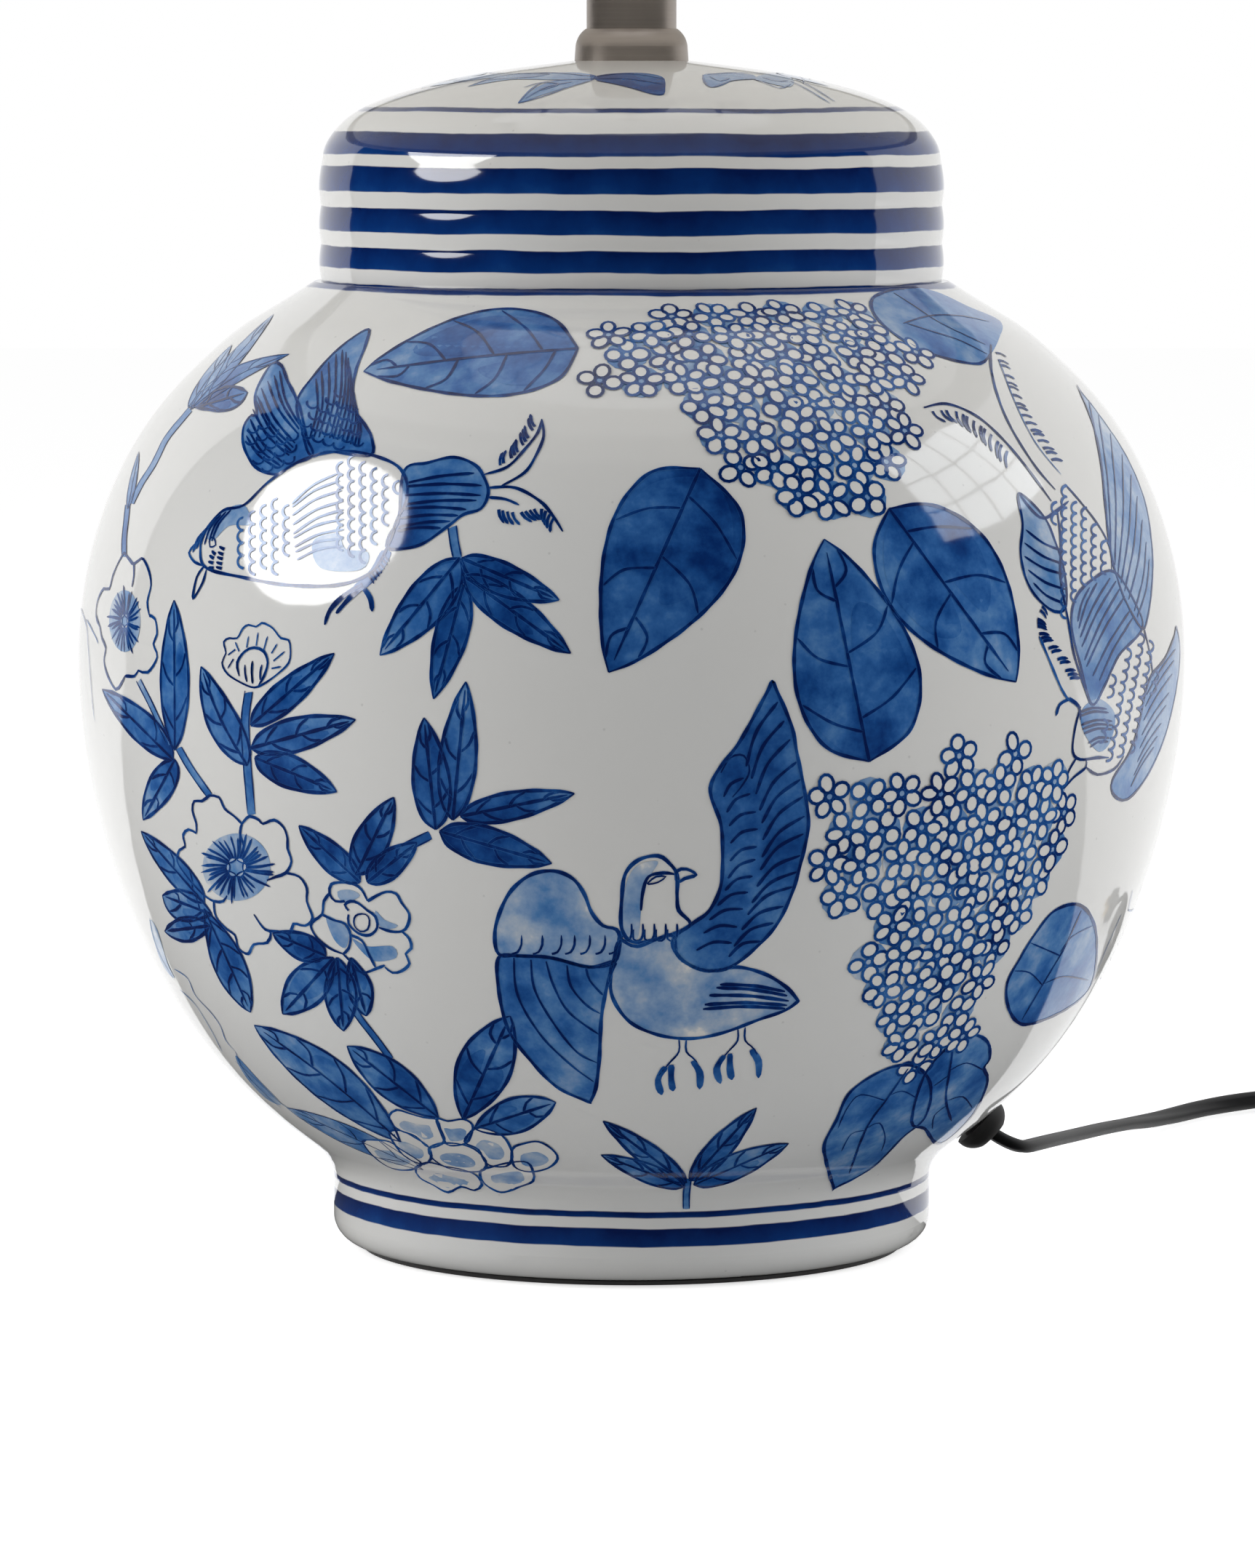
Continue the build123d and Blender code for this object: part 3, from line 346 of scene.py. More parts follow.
GROMMET_BACK = Vector((91.69, 0, 31.83)) * MM
GROMMET_TILT = math.radians(43.84)
GROMMET_AXIS = Vector((math.cos(GROMMET_TILT), 0, -math.sin(GROMMET_TILT)))
PLUG_HEIGHT = 6.5 * MM  # where the cord enters the plug
total_turns = 2 * TURNS_IN + CLIMB_TURNS
first, ahead = coil_point(0), coil_point(0.01)
entry_way = (ahead - first).normalized()
last, before = coil_point(total_turns), coil_point(total_turns - 0.01)
exit_way = (last - before).normalized()
free_points = [
    GROMMET_BACK,
    GROMMET_BACK + GROMMET_AXIS * 5 * MM,
    *(Vector(p) * MM for p in [(103.1, 5, 24), (107.4, 17.5, 23), (112.8, 40, 20.7), (121.9, 83, 15.8)]),
    *(Vector(p) * MM for p in [(136.4, 140, 10), (153.3, 193, 4.2), (171.5, 227.5, 3.3)]),
    first - entry_way * (22 * MM + CORD_WIDTH),
]
coil_points = [coil_point(i / POINTS_A_TURN) for i in range(int(total_turns * POINTS_A_TURN) + 1)]
tail_drop = Vector((0, 0, PLUG_HEIGHT - last.z))
tail_points = [last, last + exit_way * 11 * MM]
tail_points += [last + exit_way * out * MM + tail_drop for out in (23, 34)]
print("turns", round(total_turns, 2), "points", len(free_points) + len(coil_points) + len(tail_points))


# %% Cord centreline
def centreline(name, points):
    """The points of a smooth curve that is led by control points."""
    curve = bpy.data.curves.new(name, "CURVE")
    curve.dimensions = "3D"
    spline = curve.splines.new("NURBS")
    spline.points.add(len(points) - 1)
    for control, point in zip(spline.points, points):
        control.co = (*point, 1)
    spline.order_u = 3
    spline.use_endpoint_u = True
    spline.resolution_u = 6
    guide = bpy.data.objects.new(name, curve)
    bpy.context.scene.collection.objects.link(guide)
    bpy.context.view_layer.update()
    line = bpy.data.meshes.new_from_object(guide)
    places = [vertex.co.copy() for vertex in line.vertices]
    bpy.data.objects.remove(guide)
    bpy.data.meshes.remove(line)
    return places


def length_of(places):
    return sum((b - a).length for a, b in zip(places, places[1:]))


cord_line = centreline("cord_guide", free_points + coil_points + tail_points)


# %% Cord tube
def twin_section(width, thick, steps=9):
    """The outline of two round wires side by side, as (across, up)."""
    lobe = thick / 2
    centre = width / 2 - lobe
    reach = math.acos(-centre / lobe)
    half = [reach * (2 * i / (steps - 1) - 1) for i in range(steps)]
    right = [(centre + lobe * math.cos(a), lobe * math.sin(a)) for a in half]
    left = [(-x, -y) for x, y in right]
    return right[:-1] + left[:-1]


def tube(name, places, section, across, made):
    """A tube along places. across gives the direction of the section's width at each place."""
    ring = len(section)
    points = []
    for i, place in enumerate(places):
        way = (places[min(i + 1, len(places) - 1)] - places[max(i - 1, 0)]).normalized()
        wide = across(i, way)
        wide = (wide - way * wide.dot(way)).normalized()
        up = way.cross(wide)
        points += [place + wide * x + up * y for x, y in section]
    faces = [
        (i * ring + j, i * ring + (j + 1) % ring, (i + 1) * ring + (j + 1) % ring, (i + 1) * ring + j)
        for i in range(len(places) - 1)
        for j in range(ring)
    ]
    faces += [tuple(reversed(range(ring))), tuple(range((len(places) - 1) * ring, len(places) * ring))]
    return add_mesh(name, points, faces, made, rounded=True)


vinyl, tree, shader = material("cord_vinyl", (0.006, 0.006, 0.0065), 0.5)
grain = place(tree, "ShaderNodeTexNoise", Scale=900.0, Detail=3.0).outputs["Fac"]
feed(shader, Roughness=remap(tree, grain, 0.44, 0.6), Normal=bumped(tree, grain, 0.15, 0.0001))
feed(shader, Specular_IOR_Level=0.22)  # soft vinyl shines less than hard plastic

FLAT_X, FLAT_Y = 0.17, 0.15  # the cord lies flat up to here
EDGE_STEPS = 14  # steps of the centreline in which it turns on edge
on_edge_from = sum(p.y < FLAT_Y and p.x < FLAT_X for p in cord_line)


def lie_flat_then_edge(i, way):
    """The cord lies flat on its run and turns on edge where it enters the coil."""
    share = min(max((i - on_edge_from) / EDGE_STEPS, 0), 1)
    flat = Vector((0, 0, 1)).cross(way).normalized()
    return flat * math.cos(share * math.pi / 2) + Vector((0, 0, 1)) * math.sin(share * math.pi / 2)


cord = tube("twin_cord", cord_line, twin_section(CORD_WIDTH, CORD_THICK), lie_flat_then_edge, vinyl)
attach(cord, "lamp")
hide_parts("cord_free", "cord_coil")

# %% Lead inside the jar
nipple_low, nipple_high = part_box("lamp_nipple")
lead_route = [
    GROMMET_BACK,
    GROMMET_BACK - GROMMET_AXIS * 23.2 * MM,
    *(Vector(p) * MM for p in [(52, 0, 78), (28, 4, 118), (14, 3, 170), (4, 0.5, 222)]),
    Vector((0, 0, nipple_low.z - 22 * MM)),
    Vector((0, 0, nipple_high.z + 1 * MM)),
]
lead_line = centreline("lead_guide", lead_route)
lead = tube("lead_inside", lead_line, twin_section(CORD_WIDTH, CORD_THICK), lambda i, way: Vector((0, 1, 0)), vinyl)
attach(lead, "lamp")
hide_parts("cord_inside")
print("lead inside", round(length_of(lead_line), 3), "m")

# %% [markdown]
# ## Porcelain and glaze
# The glaze is a clear glassy skin over a warm grey-white body. It is never quite flat, so mirrored
# edges waver. That faint waviness is a shared group, because the jar, its lid and everything that is
# painted on them wear the same skin.

# %% Glaze ripple group
ripple, entry, result = group(
    "Glaze ripple",
    [("Reach", FLOAT, 0.00006), ("Strength", FLOAT, 0.3)],
    [("Normal", VECTOR), ("Roughness", FLOAT)],
)
where = on_object(ripple)
slow = noise(ripple, where, 55.0, 2.0)
fine = maths(ripple, "MULTIPLY", noise(ripple, where, 420.0, 2.0), 0.06)
skin = bumped(ripple, maths(ripple, "ADD", slow, fine), entry["Strength"], entry["Reach"])
feed(result, Normal=skin, Roughness=remap(ripple, slow, 0.035, 0.085))
print("glaze ripple", len(ripple.nodes), "nodes")

# %% [markdown]
# A painter holds a loaded brush against the turning jar to make its bands, so a band's edges waver by
# a few tenths of a millimetre. The cobalt gets deeper towards the band's top edge and varies at random
# along it. The band group turns an object's height into such a mask, and each material places it once
# for each of its bands.

# %% Painted band group
band, entry, result = group(
    "Painted band",
    [("Low", FLOAT, 0.0), ("High", FLOAT, 0.01), ("Waver", FLOAT, 0.0003), ("Soft", FLOAT, 0.0003)],
    [("Mask", FLOAT), ("Depth", FLOAT)],
)
where = on_object(band)
height = place(band, "ShaderNodeSeparateXYZ", Vector=where).outputs["Z"]
shake = noise(band, where, 38.0, 3.0)
shift = maths(band, "MULTIPLY", maths(band, "SUBTRACT", shake, 0.5), entry["Waver"])
level = maths(band, "ADD", height, maths(band, "MULTIPLY", shift, 4.0))
low_soft = maths(band, "ADD", entry["Low"], entry["Soft"])
high_soft = maths(band, "SUBTRACT", entry["High"], entry["Soft"])
rise = remap(band, level, 0.0, 1.0, From_Min=entry["Low"], From_Max=low_soft)
fall = remap(band, level, 0.0, 1.0, From_Min=entry["High"], From_Max=high_soft)
across = remap(band, level, 0.0, 1.0, From_Min=entry["Low"], From_Max=entry["High"])
# the cobalt deepens towards the band's top edge and varies at random
deep = maths(band, "MULTIPLY_ADD", across, 0.45, maths(band, "MULTIPLY", shake, 0.5))
feed(result, Mask=maths(band, "MULTIPLY", rise, fall), Depth=deep)
print("painted band", len(band.nodes), "nodes")

# %% Cobalt group
PORCELAIN = (0.74, 0.73, 0.705)
# Cobalt goes from a pale wash to near black as it gets thicker.
COBALT_STOPS = [
    (0.0, PORCELAIN),
    (0.08, (0.46, 0.53, 0.62)),
    (0.22, (0.26, 0.38, 0.57)),
    (0.40, (0.088, 0.225, 0.48)),
    (0.55, (0.030, 0.130, 0.385)),
    (0.70, (0.009, 0.070, 0.270)),
    (0.85, (0.002, 0.030, 0.165)),
    (1.0, (0.0008, 0.011, 0.085)),
]
cobalt, entry, result = group("Cobalt", [("Tone", FLOAT, 0.5), ("Cloud", FLOAT, 0.2)], [("Color", COLOUR)])
cloud = maths(cobalt, "SUBTRACT", noise(cobalt, on_object(cobalt), 85.0, 5.0, Roughness=0.6), 0.5)
cloud = maths(cobalt, "MULTIPLY", cloud, entry["Cloud"])
tone = maths(cobalt, "MULTIPLY_ADD", cloud, 2.2, entry["Tone"])
ramp = place(cobalt, "ShaderNodeValToRGB", Fac=tone)
ramp.color_ramp.elements.remove(ramp.color_ramp.elements[0])
for i, (position, colour) in enumerate(COBALT_STOPS):
    stop = ramp.color_ramp.elements[0] if i == 0 else ramp.color_ramp.elements.new(position)
    stop.position = position
    stop.color = (*colour, 1)
feed(result, Color=ramp.outputs["Color"])
print("cobalt", len(ramp.color_ramp.elements), "stops")

# %% Jar and lid glaze
JAR_BANDS = [(11.0, 16.0), (18.5, 20.4), (252.3, 254.2)]
LID_BANDS = [(253.0, 254.2), (257.8, 263.6), (267.3, 273.7), (277.5, 284.2), (286.9, 293.0), (297.9, 299.3)]
WARMER_BODY = (0.72, 0.725, 0.715, 1)
GLAZE_IOR = 1.55


def glaze_over(tree, shader):
    """Lays the shared rippled skin over a material."""
    skin = use(tree, ripple)
    feed(shader, Normal=skin["Normal"], Roughness=skin["Roughness"], IOR=GLAZE_IOR)


def banded_glaze(name, bands):
    """Porcelain under a glossy glaze, with cobalt bands at the given heights in millimetres."""
    made, tree, shader = material(name, PORCELAIN, 0.05)
    where = on_object(tree)
    body = mixed(tree, noise(tree, where, 9.0, 3.0), (*PORCELAIN, 1), WARMER_BODY)
    specks = place(tree, "ShaderNodeTexVoronoi", Vector=where, Scale=130.0).outputs["Distance"]
    pin = remap(tree, specks, 0.82, 1.0, From_Min=0.02, From_Max=0.06)
    colour = mixed(tree, 1.0, body, pin, blend="MULTIPLY")
    for low, high in bands:
        painted = use(tree, band, Low=low * MM, High=high * MM, Waver=0.00035, Soft=0.00028)
        tone = remap(tree, painted["Depth"], 0.72, 1.12)
        paint = use(tree, cobalt, Tone=tone, Cloud=0.12)
        colour = mixed(tree, painted["Mask"], colour, paint["Color"])
    feed(shader, Base_Color=colour)
    glaze_over(tree, shader)
    return made


finish_with(banded_glaze("jar_glaze", JAR_BANDS), "jar_body")
lid_glaze = banded_glaze("lid_glaze", LID_BANDS)
print("bands", len(JAR_BANDS) + len(LID_BANDS))

# %% [markdown]
# ## Smooth lines
# Brush lines and turned outlines are smooth. Only a few of their points are written down, in
# millimetres, and a helper runs a line through them. A point that is written twice makes a sharp
# corner.

# %% Smooth outlines
def rounded_run(run, closed, step):
    """A Catmull-Rom line through the points of a run without corners."""
    count = len(run)
    if count == 2 and not closed:
        run = [run[0], tuple((a + b) / 2 for a, b in zip(*run)), run[1]]
        count = 3
    made = []
    for i in range(count if closed else count - 1):
        if closed:
            a, b, c, d = (run[(i + k) % count] for k in (-1, 0, 1, 2))
        else:
            a, b, c, d = (run[min(max(i + k, 0), count - 1)] for k in (-1, 0, 1, 2))
        parts = max(2, round(math.dist(b, c) / step))
        for k in range(parts):
            t = k / parts
            weights = (-t + 2 * t**2 - t**3, 2 - 5 * t**2 + 3 * t**3, t + 4 * t**2 - 3 * t**3, t**3 - t**2)
            made.append(tuple(sum(w * p[axis] for w, p in zip(weights, (a, b, c, d))) / 2 for axis in (0, 1)))
    return made if closed else made + [tuple(run[-1])]


def smooth(points, closed=False, step=1.1):
    """A smooth line through the points, with a sharp corner at each point that is written twice."""
    corners = [i for i in range(1, len(points)) if points[i] == points[i - 1]]
    if closed and corners:
        points = points[corners[0] :] + points[: corners[0]]
        corners = [i for i in range(1, len(points)) if points[i] == points[i - 1]]
    if not corners:
        return rounded_run(points, closed, step)
    made, begin = [], 0
    for end in [*corners, len(points)]:
        run = points[begin:end]
        if len(run) > 1:
            made += rounded_run(run, False, step)[: None if end == len(points) and not closed else -1]
        begin = end
    return made


def inside(shape, x, z):
    """Whether a stencil point lies inside a closed outline."""
    hit = False
    for (x0, z0), (x1, z1) in zip(shape, shape[1:] + shape[:1]):
        if (z0 > z) != (z1 > z) and x < x0 + (z - z0) / (z1 - z0) * (x1 - x0):
            hit = not hit
    return hit


print("smooth square", len(smooth([(0, 0), (9, 0), (9, 9), (0, 9)], closed=True)), "points")

# %% [markdown]
# ## Lid
# A lid like this is turned on a wheel: a ribbed collar, a low dome, and inside it a wall of even
# thickness. Its outline is therefore drawn once, and spun round the axis. The dome is one easy curve
# up to the flat under the lamp's neck. The construction model's lid has a small step there, so this
# piece stands in for it.

# %% Lid
COLLAR = 81.05  # radius in the valleys between the ribs, in millimetres
SEAT = 253.8
RIBS, RIB_PITCH, RIB_SWELL = 3, 9.8, 0.5
RIB_STEPS = 10
COLLAR_TOP = SEAT + RIBS * RIB_PITCH
DOME = [(COLLAR, COLLAR_TOP), (79.3, 290.2), (72.5, 297.4), (59.2, 303.0), (38.1, 307.9), (15.4, 311.0)]
LID_HOLE = 5.6
INNER_DOME = [(21.0, 306.0), (36.0, 303.2), (56.5, 298.3), (68.0, 292.8), (74.4, 287.4), (76.05, COLLAR_TOP)]
SPIN_PARTS = 160

outline = []
for rib in range(RIBS):
    for k in range(RIB_STEPS):
        swell = RIB_SWELL * math.sin(math.pi * k / RIB_STEPS)
        outline.append((COLLAR + swell, SEAT + (rib + k / RIB_STEPS) * RIB_PITCH))
outline += smooth(DOME, step=1.2) + [(LID_HOLE, DOME[-1][1]), (LID_HOLE, INNER_DOME[0][1])]
outline += smooth(INNER_DOME, step=2.5) + [(INNER_DOME[-1][0], SEAT)]
lid_points, lid_faces = [], []
for part in range(SPIN_PARTS):
    angle = math.tau * part / SPIN_PARTS
    lid_points += [(r * math.cos(angle) * MM, r * math.sin(angle) * MM, z * MM) for r, z in outline]
    here, there = part * len(outline), (part + 1) % SPIN_PARTS * len(outline)
    for k in range(len(outline)):
        after = (k + 1) % len(outline)
        lid_faces.append((here + k, there + k, there + after, here + after))
porcelain_lid = add_mesh("porcelain_lid", lid_points, lid_faces, lid_glaze, rounded=True)
porcelain_lid.data.set_sharp_from_angle(angle=math.radians(50))
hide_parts("jar_lid")
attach(porcelain_lid, "lamp")
print("lid outline", len(outline), "points")

# %% [markdown]
# ## Painting
# The jar is painted by hand under its glaze: thin washes of cobalt first, then outlines with a fine
# brush. Paint could be a picture wrapped round the jar, but a picture has only so many pixels. Here it
# is laid as very thin pieces a tenth of a millimetre over the glaze, which stay sharp from near by and
# wear the same glassy skin. First the glaze is measured: level rays find the jar's radius at each
# height, upright ones the lid's height at each radius, and both give its slope.

# %% Measured glaze
LOOKS = (-1.55, -1.9, -1.2, -2.3, -0.7)  # angles round the axis, in radians
OUTSIDE, ABOVE = 0.3, 0.32  # a radius and a height that clear the jar and its lid


def measured_skin(piece, start, stop, count, from_above=False):
    """The profile of a round piece. Level rays stop at it between two heights, or upright ones between
    two radii, in millimetres."""
    tree = BVHTree.FromObject(piece, bpy.context.evaluated_depsgraph_get())
    radii, heights = [], []
    for span in np.linspace(start, stop, count) * MM:
        ways = [Vector((math.cos(angle), math.sin(angle), 0)) for angle in LOOKS]
        if from_above:
            hits = [tree.ray_cast(way * span + Vector((0, 0, ABOVE)), Vector((0, 0, -1)))[0] for way in ways]
            radii.append(span)
            heights.append(max(hit.z for hit in hits))
        else:
            hits = [tree.ray_cast(way * OUTSIDE + Vector((0, 0, span)), -way)[0] for way in ways]
            radii.append(max(hit.xy.length for hit in hits))
            heights.append(span)
    radii, heights = np.array(radii), np.array(heights)
    along = np.concatenate([[0], np.cumsum(np.hypot(np.diff(radii), np.diff(heights)))])
    rise, grow = np.gradient(heights, along), np.gradient(radii, along)
    key = -radii if from_above else heights
    around = float(radii.max())
    return {"tree": tree, "from_above": from_above, "key": key, "along": along, "around": around,
            "radii": radii, "heights": heights, "rise": rise, "grow": grow}


jar_skin = measured_skin(nodes["jar_body"], 20.6, 253, 466)
lid_skin = measured_skin(porcelain_lid, 78, 16, 249, from_above=True)
jar_tall = float(jar_skin["along"][-1])
print("jar radius", round(jar_skin["around"] / MM, 2), "mm, skin", round(jar_tall / MM), "mm tall")

# %% [markdown]
# A motif is drawn on a stencil: an upright sheet through the jar's axis that faces the viewer, with x
# to the right and z up, in millimetres. Each of its points is cast along the line of sight onto the
# glaze, so what is drawn flat lies on the curve.

# %% The brush
WASH_LIFT = 0.10  # millimetres over the glaze
SECOND_LIFT = 0.12
FILL_LIFT = 0.14
LINE_LIFT = 0.17
LINE = 1.0  # a fine brush's width
BLEED_TONE = 0.52  # how deep the cobalt is where a line bleeds into the glaze at its sides
BLEED = 0.72  # the line's core, as a share of its width
PULL_IN = 0.003  # a point past the jar's edge is drawn in by this share until it meets the glaze
GRAIN = 3.2 * MM  # how far apart a wash's inner points are
REACH = 2.2 * MM  # the longest straight piece on the curved glaze
hand = random.Random(11)


class Painting:
    """Paint on one glazed piece."""

    def __init__(self, skin):
        self.skin = skin
        self.points, self.normals, self.tones, self.faces = [], [], [], []

    def cast(self, x, z):
        """Where the line of sight through a stencil point lands, as metres round and up the glaze."""
        for pull in range(80):
            aim = Vector((x * (1 - PULL_IN * pull), 0, z)) * MM
            hit = self.skin["tree"].ray_cast(EYE, (aim - EYE).normalized())[0]
            if hit is not None:
                key = -hit.xy.length if self.skin["from_above"] else hit.z
                along = float(np.interp(key, self.skin["key"], self.skin["along"]))
                return Vector((math.atan2(hit.y, hit.x) * self.skin["around"], along))
        raise ValueError(f"{x}, {z} misses the glaze")

    def cast_line(self, points, closed=False, step=1.1):
        """The smooth line through stencil points, on the glaze, with no straight piece over REACH."""
        path = [self.cast(x, z) for x, z in smooth(points, closed, step)]
        made = []
        for a, b in zip(path, path[1:] + path[:1] if closed else path[1:]):
            parts = math.ceil((b - a).length / REACH)
            made += [a.lerp(b, k / max(parts, 1)) for k in range(max(parts, 1))]
        return made if closed else made + [path[-1]]

    def radius(self, along):
        return float(np.interp(along, self.skin["along"], self.skin["radii"]))

    def lay(self, spot, lift, tone):
        """Adds one point of paint and returns its number."""
        skin, along = self.skin, spot[1]
        angle, radius = spot[0] / skin["around"], self.radius(along)
        measures = (np.interp(along, skin["along"], skin[key]) for key in ("heights", "rise", "grow"))
        height, rise, grow = map(float, measures)
        normal = Vector((math.cos(angle) * rise, math.sin(angle) * rise, -grow)).normalized()
        self.points.append(Vector((radius * math.cos(angle), radius * math.sin(angle), height)) + normal * lift * MM)
        self.normals.append(normal)
        self.tones.append(tone)
        return len(self.points) - 1

    def wash(self, shape, tone, pool=None, lift=WASH_LIFT):
        """Fills a closed outline. pool is (x, z, reach, tone), a place where the wash is deeper."""
        edge = [tuple(p) for p in self.cast_line(shape, closed=True)]
        low = [min(p[axis] for p in edge) for axis in (0, 1)]
        high = [max(p[axis] for p in edge) for axis in (0, 1)]
        near = {(round(x / GRAIN * 2), round(z / GRAIN * 2)) for x, z in edge}
        grid = [
            (x, z)
            for x in np.arange(low[0] + GRAIN / 2, high[0], GRAIN)
            for z in np.arange(low[1] + GRAIN / 2, high[1], GRAIN)
            if (round(x / GRAIN * 2), round(z / GRAIN * 2)) not in near and inside(edge, x, z)
        ]
        flat = [Vector(p) / MM for p in edge + grid]
        found = geometry.delaunay_2d_cdt(flat, [], [list(range(len(edge)))], 1, 1e-4)
        centre = self.cast(*pool[:2]) / MM if pool else None
        numbers = []
        for spot in found[0]:
            depth = tone
            if pool:
                depth += (pool[3] - tone) * max(0, 1 - (spot - centre).length / pool[2])
            numbers.append(self.lay(spot * MM, lift, depth))
        self.faces += [tuple(numbers[i] for i in face) for face in found[2]]

    def ribbon(self, numbers, widths, closed=False, bleed=BLEED_TONE):
        """Turns a row of laid points into a brush line of the given widths, paler at its sides."""
        count = len(numbers)
        rows = []
        for i, number in enumerate(numbers):
            ahead = self.points[numbers[(i + 1) % count if closed else min(i + 1, count - 1)]]
            behind = self.points[numbers[(i - 1) % count if closed else max(i - 1, 0)]]
            side = self.normals[number].cross(ahead - behind).normalized() * widths[i] * MM / 2
            centre, tone = self.points[number], self.tones[number]
            first = len(self.points)
            self.points += [centre + side, centre + side * BLEED, centre - side * BLEED, centre - side]
            self.normals += [self.normals[number]] * 4
            self.tones += [min(bleed, tone), tone, tone, min(bleed, tone)]
            rows.append(first)
        for a, b in zip(rows, rows[1:] + rows[:1] if closed else rows[1:]):
            self.faces += [(a + k, a + k + 1, b + k + 1, b + k) for k in range(3)]

    def stroke(self, points, width=LINE, tone=0.93, closed=False, ends=(0.5, 0.35), step=1.1):
        """A brush line through stencil points, thinner at its ends."""
        path = self.cast_line(points, closed, step)
        numbers = [self.lay(spot, LINE_LIFT, tone + hand.uniform(-0.06, 0.06)) for spot in path]
        last = len(path) - 1
        widths = []
        for i in range(len(path)):
            share = i / last
            taper = 1 if closed else min(1, ends[0] + share * 5, ends[1] + (1 - share) * 5)
            widths.append(width * taper * (1 + 0.14 * math.sin(i * 0.9 + len(self.points))))
        self.ribbon(numbers, widths, closed)


def hang(painting, name, turns=(0, 180)):
    """Makes the mesh of a painting, with a copy turned round the axis for each angle."""
    used = sorted({number for face in painting.faces for number in face})
    place_of = {number: i for i, number in enumerate(used)}
    points = np.array([painting.points[i] for i in used])
    normals = np.array([painting.normals[i] for i in used])
    faces = [[place_of[i] for i in face] for face in painting.faces]
    for i, face in enumerate(faces):
        a, b, c = (points[k] for k in face[:3])
        if np.dot(np.cross(b - a, c - a), normals[face[0]]) < 0:
            faces[i] = face[::-1]
    all_points, all_normals, all_faces = [], [], []
    for turn in turns:
        spin = np.array(Matrix.Rotation(math.radians(turn), 3, "Z"))
        offset = len(all_points) * len(used)
        all_faces += [tuple(i + offset for i in face) for face in faces]
        all_points.append(points @ spin.T)
        all_normals.append(normals @ spin.T)
    piece = add_mesh(name, np.concatenate(all_points).tolist(), all_faces, paint_glaze, rounded=True)
    tone = piece.data.attributes.new("tone", "FLOAT", "POINT")
    tone.data.foreach_set("value", [painting.tones[i] for i in used] * len(turns))
    piece.data.normals_split_custom_set_from_vertices(np.concatenate(all_normals).tolist())
    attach(piece, "lamp")
    print(name, len(piece.data.polygons), "faces")


# %% Painted glaze
# The paint's depth comes from a number on each point, and noise clouds it like watery cobalt.
paint_glaze, tree, shader = material("painted_glaze", PORCELAIN, 0.05)
depth = place(tree, "ShaderNodeAttribute", {"attribute_name": "tone"}).outputs["Fac"]
feed(shader, Base_Color=use(tree, cobalt, Tone=depth, Cloud=0.5)["Color"])
glaze_over(tree, shader)
print("painted glaze ready")

# %% [markdown]
# ## Leaves
# Every leaf is made the same way by the painter: one wash from the stalk to the tip, two side strokes,
# a middle rib, and ribs that branch from it. So one helper paints them all from the stalk, the tip and
# the width on each side. A second one hatches a row of short dashes along a line, a third draws long
# feathers from one line to another, and a fourth lays rows of scales.

# %% Leaf, dashes and scales
def leaf(on, stalk, tip, left, right, tone=0.5, bend=0.0, full=0.4, ribs=3, line=LINE, deep=0.14):
    """A leaf. left and right are its greatest half widths, and full is where they lie along it."""
    run = Vector(tip) - Vector(stalk)
    across = Vector((-run.y, run.x)).normalized()
    power = math.log(0.5) / math.log(full)

    def spot(along, side, share=1.0):
        half = (left if side > 0 else right) * math.sin(math.pi * along**power) ** 0.8 * share
        arch = bend * math.sin(math.pi * along)
        return tuple(Vector(stalk) + run * along + across * (side * half + arch))

    shares = (0, 0.08, 0.2, 0.35, 0.5, 0.65, 0.8, 0.92, 1)
    upper = [spot(s, 1) for s in shares]
    lower = [spot(s, -1) for s in shares]
    pool = (*spot(0.15, 1, 0.2), run.length * 0.7, tone + deep)
    tone += hand.uniform(-0.14, 0.0)
    on.wash([upper[0], *upper, upper[-1], *lower[-2:0:-1]], tone, pool)
    near, far = hand.uniform(0.35, 0.55), hand.uniform(0.5, 0.75)
    one_side = [(0.03, 0.4), (0.12, 0.8), (near * 0.6, 0.86), (near, 0.7), (near + 0.1, 0.3), (near * 0.7, 0.08)]
    other_side = [(far, 0.3), (far * 0.9, 0.8), (far * 0.5, 0.86), (0.12, 0.7)]
    second = [spot(s, 1, share) for s, share in one_side] + [spot(s, -1, share) for s, share in other_side]
    on.wash(second, tone + deep, lift=SECOND_LIFT)
    on.stroke(upper, line)
    on.stroke(lower, line)
    on.stroke([spot(s, 1, 0) for s in (0, 0.3, 0.6, 0.94)], line, ends=(1, 0.2))
    for i in range(ribs):
        along = (i + 0.45) / (ribs + 0.4)
        reach = min(along + 0.17, 0.95)
        for side, late in ((1, 0), (-1, 0.06)):
            begin, end = along + late, min(reach + late, 0.97)
            rib = [spot(begin, side, 0), spot((begin + end) / 2 - 0.02, side, 0.55), spot(end, side, 0.96)]
            on.stroke(rib, line * 0.85)


def dashes(on, line, count, reach, lean=0.4, width=0.8, tone=0.9):
    """Short dashes that stand on one side of a line, and lean along it."""
    path = smooth(line)
    for i in range(count):
        k = round((i + 0.5) / count * (len(path) - 2))
        ahead = (Vector(path[k + 1]) - Vector(path[k])).normalized()
        out = Vector((-ahead.y, ahead.x)) * reach
        slant = ahead * abs(reach) * lean
        begin = Vector(path[k])
        dash = [tuple(begin), tuple(begin + out * 0.5 + slant * 0.3), tuple(begin + out + slant)]
        on.stroke(dash, width, tone, ends=(1, 0.2), step=0.7)


FEATHER = 1.6  # a feather stroke is this much fuller than a line


def feathers(on, roots, tips, count, bow=1.5, width=0.85, tone=0.94):
    """Strokes from one line to another, bowed to one side."""
    start, end = smooth(roots), smooth(tips)
    for i in range(count):
        share = (i + 0.5) / count
        a = Vector(start[round(share * (len(start) - 1))])
        b = Vector(end[round(share * (len(end) - 1))])
        side = Vector((-(b - a).y, (b - a).x)).normalized()
        on.stroke([tuple(a), tuple((a + b) / 2 + side * bow), tuple(b)], width * FEATHER, tone)


